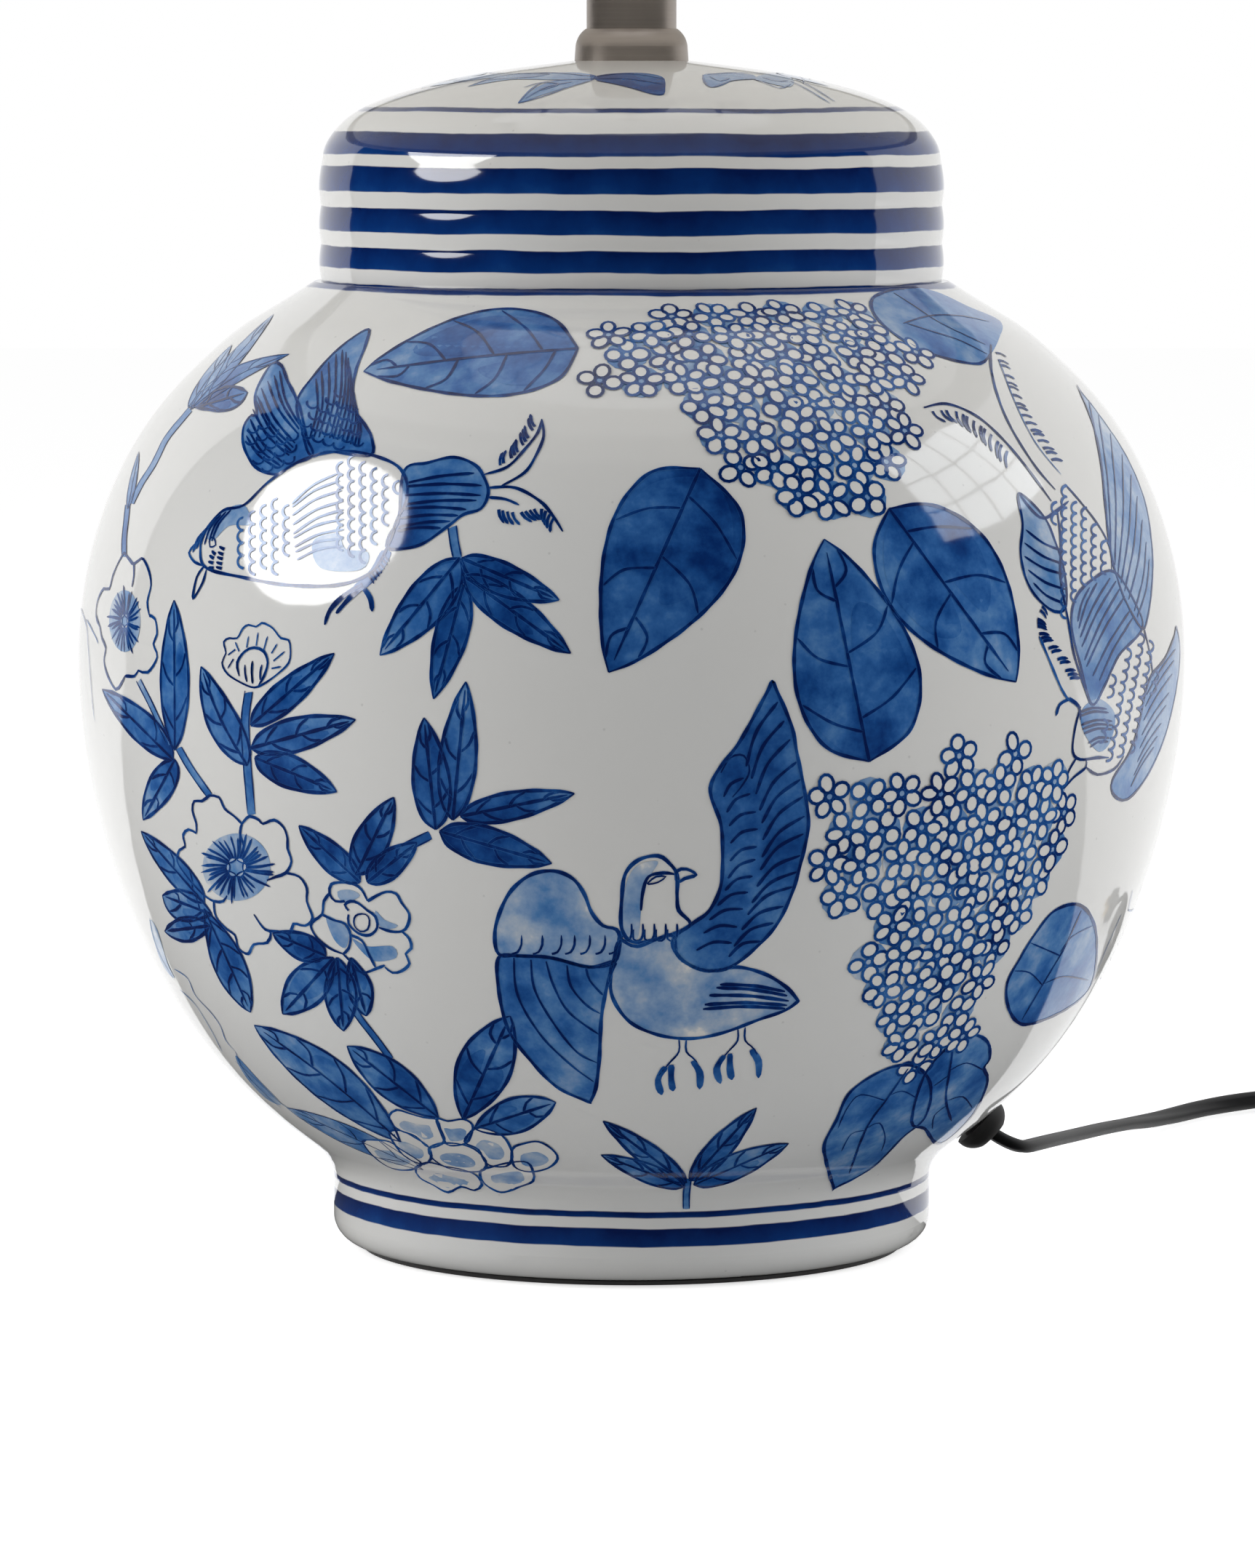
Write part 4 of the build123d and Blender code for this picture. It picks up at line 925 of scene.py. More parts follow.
def scales(on, shape, pitch, facing, tone=0.84, width=0.72):
    """Rows of small U strokes inside an outline. facing is the angle that they open to, in degrees."""
    edge = smooth(shape, closed=True)
    middle = Vector((sum(p[0] for p in edge), sum(p[1] for p in edge))) / len(edge)
    reach = max((Vector(p) - middle).length for p in edge)
    turn = Matrix.Rotation(math.radians(facing), 2)
    rows = int(reach / pitch) + 1
    for row in range(-rows, rows + 1):
        for column in range(-rows, rows + 1):
            spot = middle + turn @ Vector((row * pitch * 0.9, (column + 0.5 * (row % 2)) * pitch))
            if not inside(edge, *spot):
                continue
            bow = (Vector((-math.cos(a), 1.02 * math.sin(a))) for a in (-1.5, -0.9, -0.3, 0.3, 0.9, 1.5))
            arc = [p * pitch * 0.52 for p in bow]
            on.stroke([tuple(spot + turn @ p) for p in arc], width, tone, ends=(0.8, 0.8), step=1.0)


print("leaf, dashes, feathers and scales ready")

# %% [markdown]
# ## Hydrangeas
# A hydrangea head is a crowd of little florets. Each has four or five white petals round a small ring,
# with blue between them, and the florets at the edge of the head are outlined darkest. They are set in
# staggered rows on the glaze itself, so they keep their size where the jar turns away.

# %% Florets
FLORET = 10.0 * MM  # from one floret to the next
PETAL_OUT = 3.35 * MM
PETAL_LONG = 2.25 * MM
PETAL_WIDE = 1.85 * MM
GROUND = 5.4 * MM  # the radius of the blue under a floret
HEART, RING = 0.9 * MM, 1.0 * MM  # the radii of its middle
ROW_STEP = 0.87  # from one row to the next, as a share of FLORET
DARK_EDGE = 5 * MM  # florets nearer the head's edge have darker outlines
BARE_EDGE = 4 * MM  # and those on the edge have no ground
OVERLAP = 0.05  # how much higher the next layer of florets lies, in millimetres
WHITE = -0.5  # a depth below zero stays the porcelain's own colour


def floret(on, middle, tone, over, ground):
    """One floret: a blue ground, its petals, and a ring in its middle."""
    stretch = on.skin["around"] / on.radius(middle[1])

    def disc(u, v, long, wide, turn, lift, depth, sides=12):
        ring = []
        for k in range(sides):
            a = math.tau * k / sides
            x, y = long * math.cos(a), wide * math.sin(a)
            aside = u + x * math.cos(turn) - y * math.sin(turn)
            up = v + x * math.sin(turn) + y * math.cos(turn)
            ring.append(on.lay(middle + Vector((aside * stretch, up)), lift, depth))
        return ring

    if ground:
        on.faces.append(tuple(disc(0, 0, GROUND, GROUND, 0, WASH_LIFT, 0.27 + hand.uniform(-0.05, 0.1))))
    petals = hand.choice((4, 5, 5, 5))
    first = hand.uniform(0, math.tau)
    for k in range(petals):
        turn = first + math.tau * k / petals + hand.uniform(-0.12, 0.12)
        out = PETAL_OUT * hand.uniform(0.94, 1.08)
        long = PETAL_LONG * hand.uniform(0.9, 1.1)
        wide = PETAL_WIDE * hand.uniform(0.88, 1.1) * (1.1 if petals == 4 else 1)
        u, v = out * math.cos(turn), out * math.sin(turn)
        on.faces.append(tuple(disc(u, v, long, wide, turn, FILL_LIFT + over, WHITE)))
        edge = disc(u, v, long, wide, turn, LINE_LIFT + over, tone + hand.uniform(-0.08, 0.08))
        on.ribbon(edge, [0.85] * 12, closed=True)
    on.faces.append(tuple(disc(0, 0, HEART, HEART, 0, FILL_LIFT + over, 0.2)))
    on.ribbon(disc(0, 0, RING, RING, 0, LINE_LIFT + over, tone - 0.08, sides=8), [0.6] * 8, closed=True)


def hydrangea(on, shape):
    """Fills an outline on the stencil with florets. Only those inside have a blue ground."""
    edge = [tuple(p) for p in on.cast_line(shape, closed=True)]
    low = [min(p[axis] for p in edge) for axis in (0, 1)]
    high = [max(p[axis] for p in edge) for axis in (0, 1)]
    along, row = low[1], 0
    while along < high[1]:
        step = FLORET * on.skin["around"] / on.radius(along)
        round_it, column = low[0] + 0.5 * (row % 2) * step, 0
        while round_it < high[0]:
            sideways, upward = hand.uniform(-0.1, 0.1) * step, hand.uniform(-0.07, 0.07) * FLORET
            spot = Vector((round_it + sideways, along + upward))
            if inside(edge, *spot):
                gap = min(math.dist(spot, p) for p in edge)
                over = (row % 2 * 2 + column % 2) * OVERLAP
                floret(on, spot, 0.84 if gap < DARK_EDGE else 0.74, over, gap > BARE_EDGE)
            round_it += step
            column += 1
        along += FLORET * ROW_STEP
        row += 1


print("floret of", FLORET / MM, "mm")

# %% Upper hydrangea and its leaves
upper = Painting(jar_skin)
HEAD_TOP = [
    (-11.5, 237), (-3, 243), (11.5, 246), (22, 249), (29.5, 245), (42, 249.5), (52.5, 249.5), (64.5, 244), (77, 236),
    (74, 229), (64.5, 225.5), (73, 220.5), (75.5, 215.5), (68, 212.5), (73, 204), (67, 199), (66.5, 192),
    (61.5, 189.5), (52.5, 188.5), (44, 192), (37, 198.5), (30, 201), (19.5, 206), (13.5, 211.5), (13.5, 220.5),
    (-1, 223.5), (-10.5, 225.5),
]
hydrangea(upper, HEAD_TOP)
leaf(upper, (-14, 236), (-70, 230), 10.7, 11.9, tone=0.42, full=0.36, bend=-0.6, ribs=4)
leaf(upper, (18, 204.5), (-6, 151), 19.3, 15.3, tone=0.68, full=0.34)
leaf(upper, (62.5, 127.5), (50.5, 186), 15.0, 17.6, tone=0.55, full=0.36)
leaf(upper, (67.5, 194), (101, 148.5), 15.6, 14.8)
SHOULDER_LEAF = [
    (62.5, 248.5), (64.5, 243.5), (73, 237), (82, 233.5), (91, 232), (94, 234.5), (96, 238.5), (96.5, 243),
    (88, 247), (79, 251), (70.5, 252),
]
upper.wash(SHOULDER_LEAF, 0.4, (79, 237, 12, 0.58))
upper.stroke([(70.5, 252), (63, 249), (64.5, 243.5), (73, 237), (82, 233.5), (91, 232), (94, 235)])
upper.stroke([(72, 242.5), (80, 240), (86, 238), (93, 234.5)], 0.65)
upper.stroke([(68.5, 250.5), (74, 247), (81, 242.5), (92.5, 237)], 0.65)
upper.stroke([(71, 242.5), (78, 244.5), (86, 244.5), (93.5, 243)], 0.65)

# %% Lower hydrangea and its leaves
lower = Painting(jar_skin)
HEAD_LOW = [
    (46.5, 105.5), (49.5, 115), (52.5, 120.5), (58, 124.5), (63, 128), (67, 123.5), (73.5, 120.5), (80, 117.5),
    (82, 124.5), (83, 128), (87.5, 130), (93, 126), (100, 130), (105, 127.5), (111.5, 129.5), (114.5, 124.5),
    (115.5, 116.5), (115, 110), (111.5, 98.5), (107, 90.5), (105.5, 82), (100.5, 77.5), (94.5, 73), (90.5, 63),
    (89, 55.5), (82, 50.5), (73.5, 46), (66.5, 51), (62.5, 56.5), (60, 64.5), (54, 70.5), (57, 77.5), (62, 80),
    (58, 84), (50.5, 87), (48.5, 92.5), (50.5, 97),
]
hydrangea(lower, HEAD_LOW)
RIGHT_LEAF = [
    (118, 89.5), (122, 84), (122.5, 74.5), (120.5, 67), (115, 62), (107.5, 58.5), (102.5, 58), (99.5, 62),
    (99, 68.5), (102.5, 75.5), (106.5, 82), (111.5, 88),
]
lower.wash(RIGHT_LEAF, 0.44, (106.5, 63, 18, 0.62))
lower.stroke(RIGHT_LEAF, closed=True)
lower.stroke([(118.5, 88), (114, 78), (108.5, 68.5), (103, 59)], 0.8)
for rib in (
    [(113, 77), (116, 81), (121.5, 84)],
    [(113, 76), (108.5, 78), (105, 79.5)],
    [(108.5, 68.5), (114, 70.5), (120.5, 69.5)],
    [(108.5, 68), (105, 71.5), (101, 72)],
):
    lower.stroke(rib, 0.42)
LOBE_LEFT = [
    (75, 46.5), (67.5, 46), (58, 40), (54, 32), (51, 26), (51.5, 21), (53.5, 14), (53.5, 14), (63.5, 19.5),
    (71.5, 27.5), (77.5, 33), (79, 41.5),
]
LOBE_RIGHT = [
    (77.5, 44.5), (84.5, 52.5), (90, 55), (94, 53), (94.5, 48.5), (93, 46), (94, 42.5), (90, 33.5), (81.5, 26),
    (77.5, 30), (74, 32),
]
lower.wash(LOBE_RIGHT, 0.42, (82, 46.5, 16, 0.55))
lower.stroke(LOBE_RIGHT, closed=True)
lower.wash(LOBE_LEFT, 0.46, (71.5, 42.5, 20, 0.58))
lower.stroke(LOBE_LEFT, closed=True)
lower.stroke([(73, 46), (67.5, 38), (62, 30), (57.5, 18)], 0.8)
lower.stroke([(85, 53), (84, 45.5), (83, 38), (84.5, 32)], 0.8)
for rib in (
    [(67.5, 38.5), (71.5, 40), (75.5, 38)],
    [(67, 37.5), (60.5, 39), (57, 35.5), (54.5, 30)],
    [(62, 30), (65.5, 31.5), (67, 27.5), (66, 24)],
    [(61.5, 29.5), (58, 28.5), (55.5, 24)],
    [(84, 45.5), (88.5, 47.5), (93, 45.5)],
    [(83.5, 37.5), (87.5, 38.5), (90, 35.5)],
    [(83.5, 44), (80, 41.5)],
    [(83, 36), (80, 33.5), (79.5, 30)],
):
    lower.stroke(rib, 0.42)

# %% [markdown]
# ## Branch with flowers
# The branch climbs the jar's left side. Its flowers are left nearly white: only their scalloped edges
# are outlined, with a blue breath round the middle and fine stamens that fan out of it.

# %% Flower helper
def blossom(on, middle, petals, stamens, reach, squeeze=1.0, ring=1.5, breath=0.2):
    """A flower from its petals' outlines, with stamens that fan out from a ring of dots."""
    centre = Vector(middle)

    def round_it(angle, out):
        return tuple(centre + Vector((math.cos(angle) * squeeze, math.sin(angle))) * out)

    on.wash([round_it(math.tau * k / 12, reach * 0.95) for k in range(12)], breath, (*middle, reach, breath + 0.16))
    for petal in petals:
        on.stroke(petal, 0.8, 0.84, ends=(0.9, 0.6))
    for k in range(stamens):
        angle = math.tau * k / stamens + hand.uniform(-0.08, 0.08)
        far = reach * hand.uniform(0.78, 1.12)
        stamen = [round_it(angle, ring * 1.5), round_it(angle + 0.04, far * 0.6), round_it(angle + 0.1, far)]
        on.stroke(stamen, 0.8, 0.82, ends=(1, 0.15))
    for k in range(6):
        angle = math.tau * k / 6
        dot = [round_it(angle + a, ring * out) for a, out in ((0, 1), (0.5, 1.35), (0, 1.75), (-0.5, 1.35))]
        on.wash(dot, 0.14, lift=FILL_LIFT)
        on.stroke(dot, 0.5, 0.78, closed=True, step=0.6)


def stem(on, line, width=1.5, tone=0.5):
    """A stalk: a wash with a line along each side."""
    path = [Vector(p) for p in smooth(line)]
    sides = []
    for sign in (1, -1):
        side = []
        for i, p in enumerate(path):
            way = path[min(i + 1, len(path) - 1)] - path[max(i - 1, 0)]
            side.append(tuple(p + Vector((-way.y, way.x)).normalized() * sign * width / 2))
        sides.append(side)
    on.wash([sides[0][0], *sides[0][::2], sides[0][-1], *sides[1][::-2]], tone)
    for side in sides:
        on.stroke(side[::2], 0.42)


print("flower and stem ready")

# %% The branch
branch = Painting(jar_skin)
stem(branch, [(-100.5, 146), (-101.5, 138), (-101, 126.5), (-100.5, 120), (-100, 113.5)], 2.0, 0.52)
leaf(branch, (-101, 126.5), (-113, 152.5), 3.8, 4.2, bend=1.2)
leaf(branch, (-100, 137), (-78, 156), 3.6, 3.6, tone=0.52)
leaf(branch, (-100, 131), (-72.5, 138.5), 4.6, 4.0, tone=0.46)
leaf(branch, (-99, 128.5), (-77.5, 119.5), 4.2, 4.0, tone=0.62)
BUD = [
    (-102, 148), (-106, 150.5), (-107.5, 153.5), (-106.5, 156), (-107, 159), (-105.5, 160), (-103.5, 160),
    (-102, 162.5), (-100.5, 163.5), (-98.5, 163), (-97, 164), (-95.5, 163.5), (-94, 162.5), (-92, 160), (-90, 159.5),
    (-89.5, 157), (-90, 153.5), (-93, 150.5), (-96.5, 148), (-99, 147),
]
branch.stroke(BUD, 0.55, 0.86, closed=True)
branch.stroke(
    [
        (-103, 150), (-103.5, 153.5), (-101.5, 156.5), (-99, 157.5), (-96.5, 156.5), (-95.5, 153.5), (-96.5, 150),
        (-98, 147.5),
    ],
    0.8,
)
feathers(branch, [(-101, 148.5), (-99.5, 148), (-97.5, 149)], [(-101.5, 153), (-99.5, 154), (-97, 153)], 4, 0.2, 0.45)
for line in (
    [(-106, 152), (-104.5, 154.5)],
    [(-106, 155.5), (-104, 157)],
    [(-104, 159), (-103, 156.5)],
    [(-100.5, 160.5), (-101, 157.5)],
    [(-98, 161.5), (-98.5, 158)],
    [(-95.5, 160.5), (-96.5, 157)],
    [(-93, 158.5), (-94.5, 156)],
    [(-91, 156.5), (-94, 154)],
    [(-92, 152.5), (-94.5, 152)],
):
    branch.stroke(line, 0.5, 0.8, ends=(0.3, 1))
leaf(branch, (-120, 130.5), (-120, 170), 3.6, 3.7, full=0.45)
leaf(branch, (-120.5, 128), (-139, 146.5), 3.2, 4.0, tone=0.6, ribs=2, full=0.42)
leaf(branch, (-120, 128), (-128.5, 112), 3.4, 3.4, tone=0.52, ribs=2)
stem(branch, [(-119, 131), (-116.5, 126.5), (-113.5, 122), (-111, 118.5)], 1.6, 0.5)
stem(branch, [(-129.5, 149), (-126.5, 143), (-123.5, 136.5), (-121.5, 132)], 1.2, 0.3)
BIG_FLOWER = [
    [(-111, 118.5), (-108.5, 118), (-107, 115), (-104.5, 113), (-102.5, 111)],
    [(-111, 118.5), (-113, 117), (-115, 117), (-115.5, 114.5), (-114.5, 111), (-114.5, 108.5)],
    [
        (-114.5, 108.5), (-116.5, 109.5), (-118, 108), (-117.5, 105), (-119, 104), (-119.5, 101), (-117, 97),
        (-113, 92.5), (-110, 90.5), (-107.5, 90.5), (-106.5, 92),
    ],
    [(-102.5, 111), (-103, 108.5), (-102, 105), (-102.5, 102.5)],
    [
        (-102.5, 111), (-100.5, 113), (-98, 112), (-97, 111), (-94, 112), (-91.5, 110), (-90.5, 107), (-90.5, 104.5),
        (-89.5, 101), (-91, 98), (-93.5, 97), (-96, 96),
    ],
    [
        (-91, 98), (-87.5, 97), (-85.5, 94), (-85.5, 90.5), (-84, 86), (-86, 84), (-89, 84.5), (-90, 82),
        (-93, 82.5), (-96.5, 83), (-99.5, 87),
    ],
    [
        (-110, 90.5), (-109.5, 86.5), (-106.5, 83), (-104.5, 81.5), (-103.5, 78), (-101, 76.5), (-99.5, 79),
        (-96, 79.5), (-95, 82), (-96.5, 83),
    ],
]
blossom(branch, (-104, 99.5), BIG_FLOWER, 34, 9.4, ring=1.7)
SMALL_FLOWER = [
    [
        (-133, 182.5), (-131.5, 180.5), (-130.5, 179.5), (-128.5, 181), (-127.5, 180), (-126.5, 177.5), (-126, 174),
        (-127, 169.5), (-126.5, 166),
    ],
    [
        (-133, 182.5), (-134.5, 180), (-136, 176.5), (-137, 173), (-138.5, 173), (-140, 170), (-140.5, 166),
        (-139.5, 163),
    ],
    [(-126.5, 166), (-125, 165), (-124.5, 161), (-125.5, 158.5), (-124.5, 155), (-127, 151), (-129.5, 151.5)],
    [
        (-139.5, 163), (-139, 160), (-138, 157.5), (-138.5, 154), (-137.5, 150), (-135.5, 146.5), (-134, 148),
        (-133, 150),
    ],
    [(-129.5, 151.5), (-130.5, 150), (-132, 150), (-133, 150)],
    [(-130.5, 179.5), (-130.5, 176.5), (-131, 173.5)],
]
blossom(branch, (-133, 164.5), SMALL_FLOWER, 26, 8.6, squeeze=0.5, ring=1.3)
ROSE = [
    [(-75.5, 90.5), (-78, 90.5), (-79.5, 92.5), (-79, 95), (-76, 95.5), (-73, 95), (-71, 93.5), (-69.5, 90.5)],
    [(-79.5, 92.5), (-81, 90.5), (-81.5, 87), (-83.5, 85.5), (-84.5, 84), (-83, 81), (-79.5, 78), (-76, 76.5)],
    [(-81.5, 87), (-78.5, 85.5), (-75.5, 84.5), (-74, 81.5), (-74.5, 78), (-76, 76.5)],
    [(-76, 76.5), (-73.5, 74), (-71, 71.5), (-67.5, 72.5), (-65, 73.5)],
    [(-74, 81.5), (-71, 80), (-69, 76), (-67.5, 73)],
    [
        (-69.5, 90.5), (-67, 92), (-64.5, 93), (-62, 92.5), (-60.5, 90), (-58.5, 87), (-59, 84), (-60.5, 82.5),
        (-63.5, 82.5), (-66.5, 83.5),
    ],
    [(-60.5, 82.5), (-58.5, 80.5), (-58, 78), (-59.5, 76.5), (-58.5, 74), (-60.5, 72), (-63, 71.5), (-65, 73)],
    [
        (-74.5, 88), (-75.5, 89.5), (-74, 90.5), (-72, 90), (-69.5, 88), (-67.5, 86.5), (-67, 83.5), (-69, 81.5),
        (-72, 82), (-74.5, 84.5), (-74.5, 87),
    ],
]
for petal in ROSE:
    branch.stroke(petal, 0.8, 0.84, ends=(0.9, 0.6))
branch.stroke([(-72, 87), (-70, 87), (-69, 85.5), (-69.5, 83), (-71.5, 82.5), (-73, 84), (-73, 86)], 0.5, closed=True)
for shape, tone in (
    ([(-80.5, 86.5), (-77, 85), (-74.5, 82), (-75.5, 78), (-78.5, 80.5)], 0.3),
    ([(-73.5, 80.5), (-69.5, 78.5), (-63, 78.5), (-62, 75.5), (-67.5, 74.5), (-71, 77)], 0.36),
    ([(-67.5, 88), (-65, 85.5), (-61.5, 84), (-64, 83), (-67, 84.5)], 0.24),
    ([(-77.5, 93), (-74, 93.5), (-71.5, 92), (-74, 90.5), (-76.5, 90.5)], 0.2),
):
    branch.wash(shape, tone)
leaf(branch, (-71.5, 95.5), (-87.5, 110.5), 3.6, 3.2, tone=0.66, ribs=2)
leaf(branch, (-72.5, 97.5), (-62.5, 118), 4.6, 4.2, tone=0.58)
leaf(branch, (-69.5, 95.5), (-56.5, 106), 3.6, 3.4, tone=0.66, ribs=2)
stem(branch, [(-63, 103), (-58, 105.5), (-53, 108)], 2.2, 0.66)
leaf(branch, (-51.5, 109.5), (-54.5, 139), 4.6, 5.0, tone=0.62)
leaf(branch, (-47, 112), (-43.5, 148.5), 5.0, 4.6, tone=0.6)
leaf(branch, (-45, 113), (-15, 119), 3.6, 3.6, tone=0.62)
leaf(branch, (-50.5, 109), (-21, 100.5), 4.6, 4.8, tone=0.72)
leaf(branch, (-80.5, 76), (-94.5, 82), 3.6, 3.2, tone=0.58, ribs=2)
leaf(branch, (-78.5, 75.5), (-92, 60.5), 5.0, 5.2, ribs=2, full=0.5)
leaf(branch, (-77.5, 75.5), (-76, 56), 4.2, 4.0, tone=0.52, full=0.5)
leaf(branch, (-74, 75.5), (-70, 60), 3.4, 2.8, tone=0.46, ribs=2, full=0.55)
stem(branch, [(-74, 63), (-71, 58.5), (-67.5, 54), (-63.5, 48.5)], 1.5, 0.5)
leaf(branch, (-112.5, 90), (-129, 109), 3.0, 3.0, tone=0.46)
leaf(branch, (-110.5, 87), (-123.5, 92), 4.4, 3.4, tone=0.46, ribs=2, full=0.55)
leaf(branch, (-111, 84), (-123, 82.5), 3.4, 3.0, tone=0.38, ribs=1, full=0.5)
leaf(branch, (-112.5, 88.5), (-100.5, 61), 4.0, 4.0, tone=0.48, ribs=4, full=0.55)
leaf(branch, (-44.5, 181), (-19, 170), 3.4, 5.0, tone=0.6)
leaf(branch, (-44, 176.5), (-16, 156), 4.4, 4.6, tone=0.62)
leaf(branch, (-45, 181), (-66, 155.5), 6.2, 4.8, tone=0.56)
leaf(branch, (-44, 174), (-52, 144), 4.4, 4.0, tone=0.66)
stem(branch, [(-47, 189.5), (-46.5, 185.5), (-45.5, 180.5)], 2.2, 0.5)

# %% Peony at the foot
peony = Painting(jar_skin)
leaf(peony, (-61, 26.5), (-99.5, 57.5), 5.4, 5.6, ribs=4, full=0.5, bend=-1.0)
leaf(peony, (-51, 33), (-75, 52), 4.6, 4.8, tone=0.52, full=0.5)
leaf(peony, (-44.5, 32.5), (-32, 60), 7.6, 6.4, tone=0.52, full=0.5)
leaf(peony, (-41.5, 30), (-20, 37), 4.6, 4.6, tone=0.54, ribs=2, full=0.5)
leaf(peony, (-55, 19), (-91, 35.5), 2.4, 2.6, tone=0.36, full=0.5, line=0.38)
PEONY_PETALS = [
    [
        (-63.5, 31.5), (-64, 33.5), (-62, 35), (-58.5, 34), (-55, 33), (-51.5, 32.5), (-50.5, 30), (-49.5, 26.5),
        (-53.5, 25), (-57, 28), (-61, 29.5),
    ],
    [(-51.5, 32.5), (-48.5, 32), (-44.5, 32.5), (-42, 31), (-42.5, 28), (-44, 26), (-48, 25.5), (-49.5, 27)],
    [
        (-44, 26.5), (-41.5, 30), (-38.5, 30), (-34, 28), (-32, 25), (-31.5, 22.5), (-33, 20), (-38, 20.5),
        (-40.5, 24.5),
    ],
    [(-31.5, 24.5), (-28.5, 26), (-24.5, 26.5), (-21, 24.5), (-19.5, 22), (-22, 19.5), (-27, 18.5), (-31, 20)],
    [
        (-38, 19.5), (-32, 21), (-27.5, 21), (-26, 18.5), (-26, 16), (-29.5, 14.5), (-34.5, 13), (-39, 15.5),
        (-40, 18.5),
    ],
    [
        (-53.5, 24.5), (-51, 26), (-46, 26), (-41.5, 24.5), (-38.5, 21.5), (-39, 19), (-43, 18.5), (-48.5, 19.5),
        (-52.5, 22),
    ],
    [
        (-57, 19.5), (-54, 21), (-49.5, 20), (-44.5, 19), (-41, 17.5), (-39.5, 15), (-41.5, 13.5), (-45, 14.5),
        (-48.5, 13), (-52.5, 15), (-56, 17),
    ],
    [(-64, 29), (-61, 29.5), (-57, 27.5), (-53.5, 25), (-53, 22), (-55, 20.5), (-59, 22), (-62, 25)],
    [
        (-71, 26.5), (-68.5, 27), (-64, 26.5), (-61, 24.5), (-57, 22), (-55.5, 20.5), (-58.5, 19), (-63.5, 19.5),
        (-68, 22.5),
    ],
]
for petal in PEONY_PETALS:
    middle = (sum(p[0] for p in petal) / len(petal), sum(p[1] for p in petal) / len(petal))
    peony.wash(petal, WHITE, lift=FILL_LIFT - 0.01)
    shrunk = [(middle[0] + (x - middle[0]) * 0.62, middle[1] - 0.8 + (z - middle[1]) * 0.5) for x, z in petal]
    peony.wash(shrunk, 0.2, lift=FILL_LIFT)
    peony.stroke(petal, 0.75, 0.8, closed=True)

# %% Sprigs
sprigs = Painting(jar_skin)
leaf(sprigs, (14.5, 15.5), (-7.5, 32), 2.8, 2.8)
leaf(sprigs, (14, 14.5), (-8, 23), 2.6, 2.4)
leaf(sprigs, (15.5, 16), (33, 35.5), 3.0, 3.0)
leaf(sprigs, (16.5, 15), (41.5, 26), 3.4, 3.2)
stem(sprigs, [(15, 16.5), (14.5, 12.5), (14.5, 8.5)], 1.6, 0.5)
leaf(sprigs, (-115.5, 220), (-93.5, 245), 1.8, 1.8, tone=0.4, line=0.4)
leaf(sprigs, (-115, 220.5), (-89.5, 234.5), 2.4, 1.6, ribs=2, line=0.42, bend=1.6)
leaf(sprigs, (-114, 220.5), (-100.5, 224.5), 3.0, 3.0, tone=0.58, ribs=2, full=0.6)
leaf(sprigs, (-116, 220.5), (-104.5, 237), 1.6, 1.6, tone=0.38, ribs=2, line=0.4)
stem(sprigs, [(-115.5, 220), (-118.5, 216.5), (-122, 212), (-125, 206), (-128.5, 200.5), (-131, 195.5)], 1.3, 0.42)
stem(sprigs, [(-132, 195), (-132.5, 190.5), (-133, 186), (-133, 181.5)], 1.2, 0.42)
leaf(sprigs, (-132, 194), (-129, 209), 0.9, 0.9, tone=0.36, ribs=0, line=0.38)
sprigs.stroke([(-144.5, 168), (-143, 163), (-142.5, 156.5), (-141.5, 142), (-141, 138)], 0.42, 0.6)
sprigs.stroke([(-143, 165), (-140.5, 160), (-140, 158.5)], 0.42, 0.6)

# %% [markdown]
# ## Birds
# Three birds fly between the flowers. Each is washes for the wings and the body, rows of scales for
# the small feathers, and long bowed strokes for the flight feathers.

# %% Diving bird
diver = Painting(jar_skin)
WING_BACK = [
    (-93, 203), (-98.5, 205), (-101.5, 210.5), (-101.5, 215.5), (-99.5, 218.5), (-98, 218.5), (-98.5, 223.5),
    (-97, 227.5), (-94, 232), (-91.5, 231.5), (-90, 227.5), (-88, 223.5), (-86.5, 219.5), (-85, 212.5), (-83.5, 208),
    (-89, 205.5),
]
WING_FRONT = [
    (-87.5, 222), (-83, 229), (-76.5, 236), (-69, 241), (-69.5, 237), (-72, 230.5), (-73, 224.5), (-72.5, 220),
    (-69.5, 215.5), (-68, 212.5), (-68.5, 208), (-79, 209), (-84, 208), (-86, 214),
]
BIRD_BODY = [
    (-111.5, 178.5), (-113, 183.5), (-111.5, 188.5), (-107, 193.5), (-101.5, 195), (-94.5, 201.5), (-84.5, 207.5),
    (-73, 209), (-62.5, 206), (-59, 201.5), (-59, 196), (-61.5, 191), (-63.5, 185), (-68, 177.5), (-77, 174),
    (-90.5, 174), (-102, 176),
]
TAIL = [
    (-59.5, 204), (-53.5, 206), (-46.5, 207.5), (-41, 205.5), (-38.5, 202), (-37.5, 198), (-39.5, 194), (-44, 192.5),
    (-48, 189.5), (-55.5, 184.5), (-63.5, 183.5), (-63.5, 187), (-61, 191.5),
]
diver.wash(WING_BACK, 0.4, (-93.5, 207, 16, 0.6))
diver.wash(WING_FRONT, 0.4, (-77, 209, 18, 0.6))
diver.wash(TAIL, 0.42, (-59.5, 187.5, 14, 0.72))
diver.wash([(-111.5, 188.5), (-107, 193.5), (-101.5, 195), (-100, 190), (-105.5, 189.5), (-110, 185.5)], 0.24)
diver.wash([(-83.5, 185.5), (-77, 187.5), (-75, 183.5), (-69, 182.5), (-71, 178), (-81.5, 178.5)], 0.3)
for shape in (WING_BACK, WING_FRONT, BIRD_BODY, TAIL):
    diver.stroke(shape, 0.85, 0.88, closed=True)
feathers(
    diver,
    [(-93, 204), (-89, 209), (-86.5, 216.5)],
    [(-101, 212.5), (-97.5, 224.5), (-91.5, 230.5)],
    10,
    1.2,
    0.45,
)
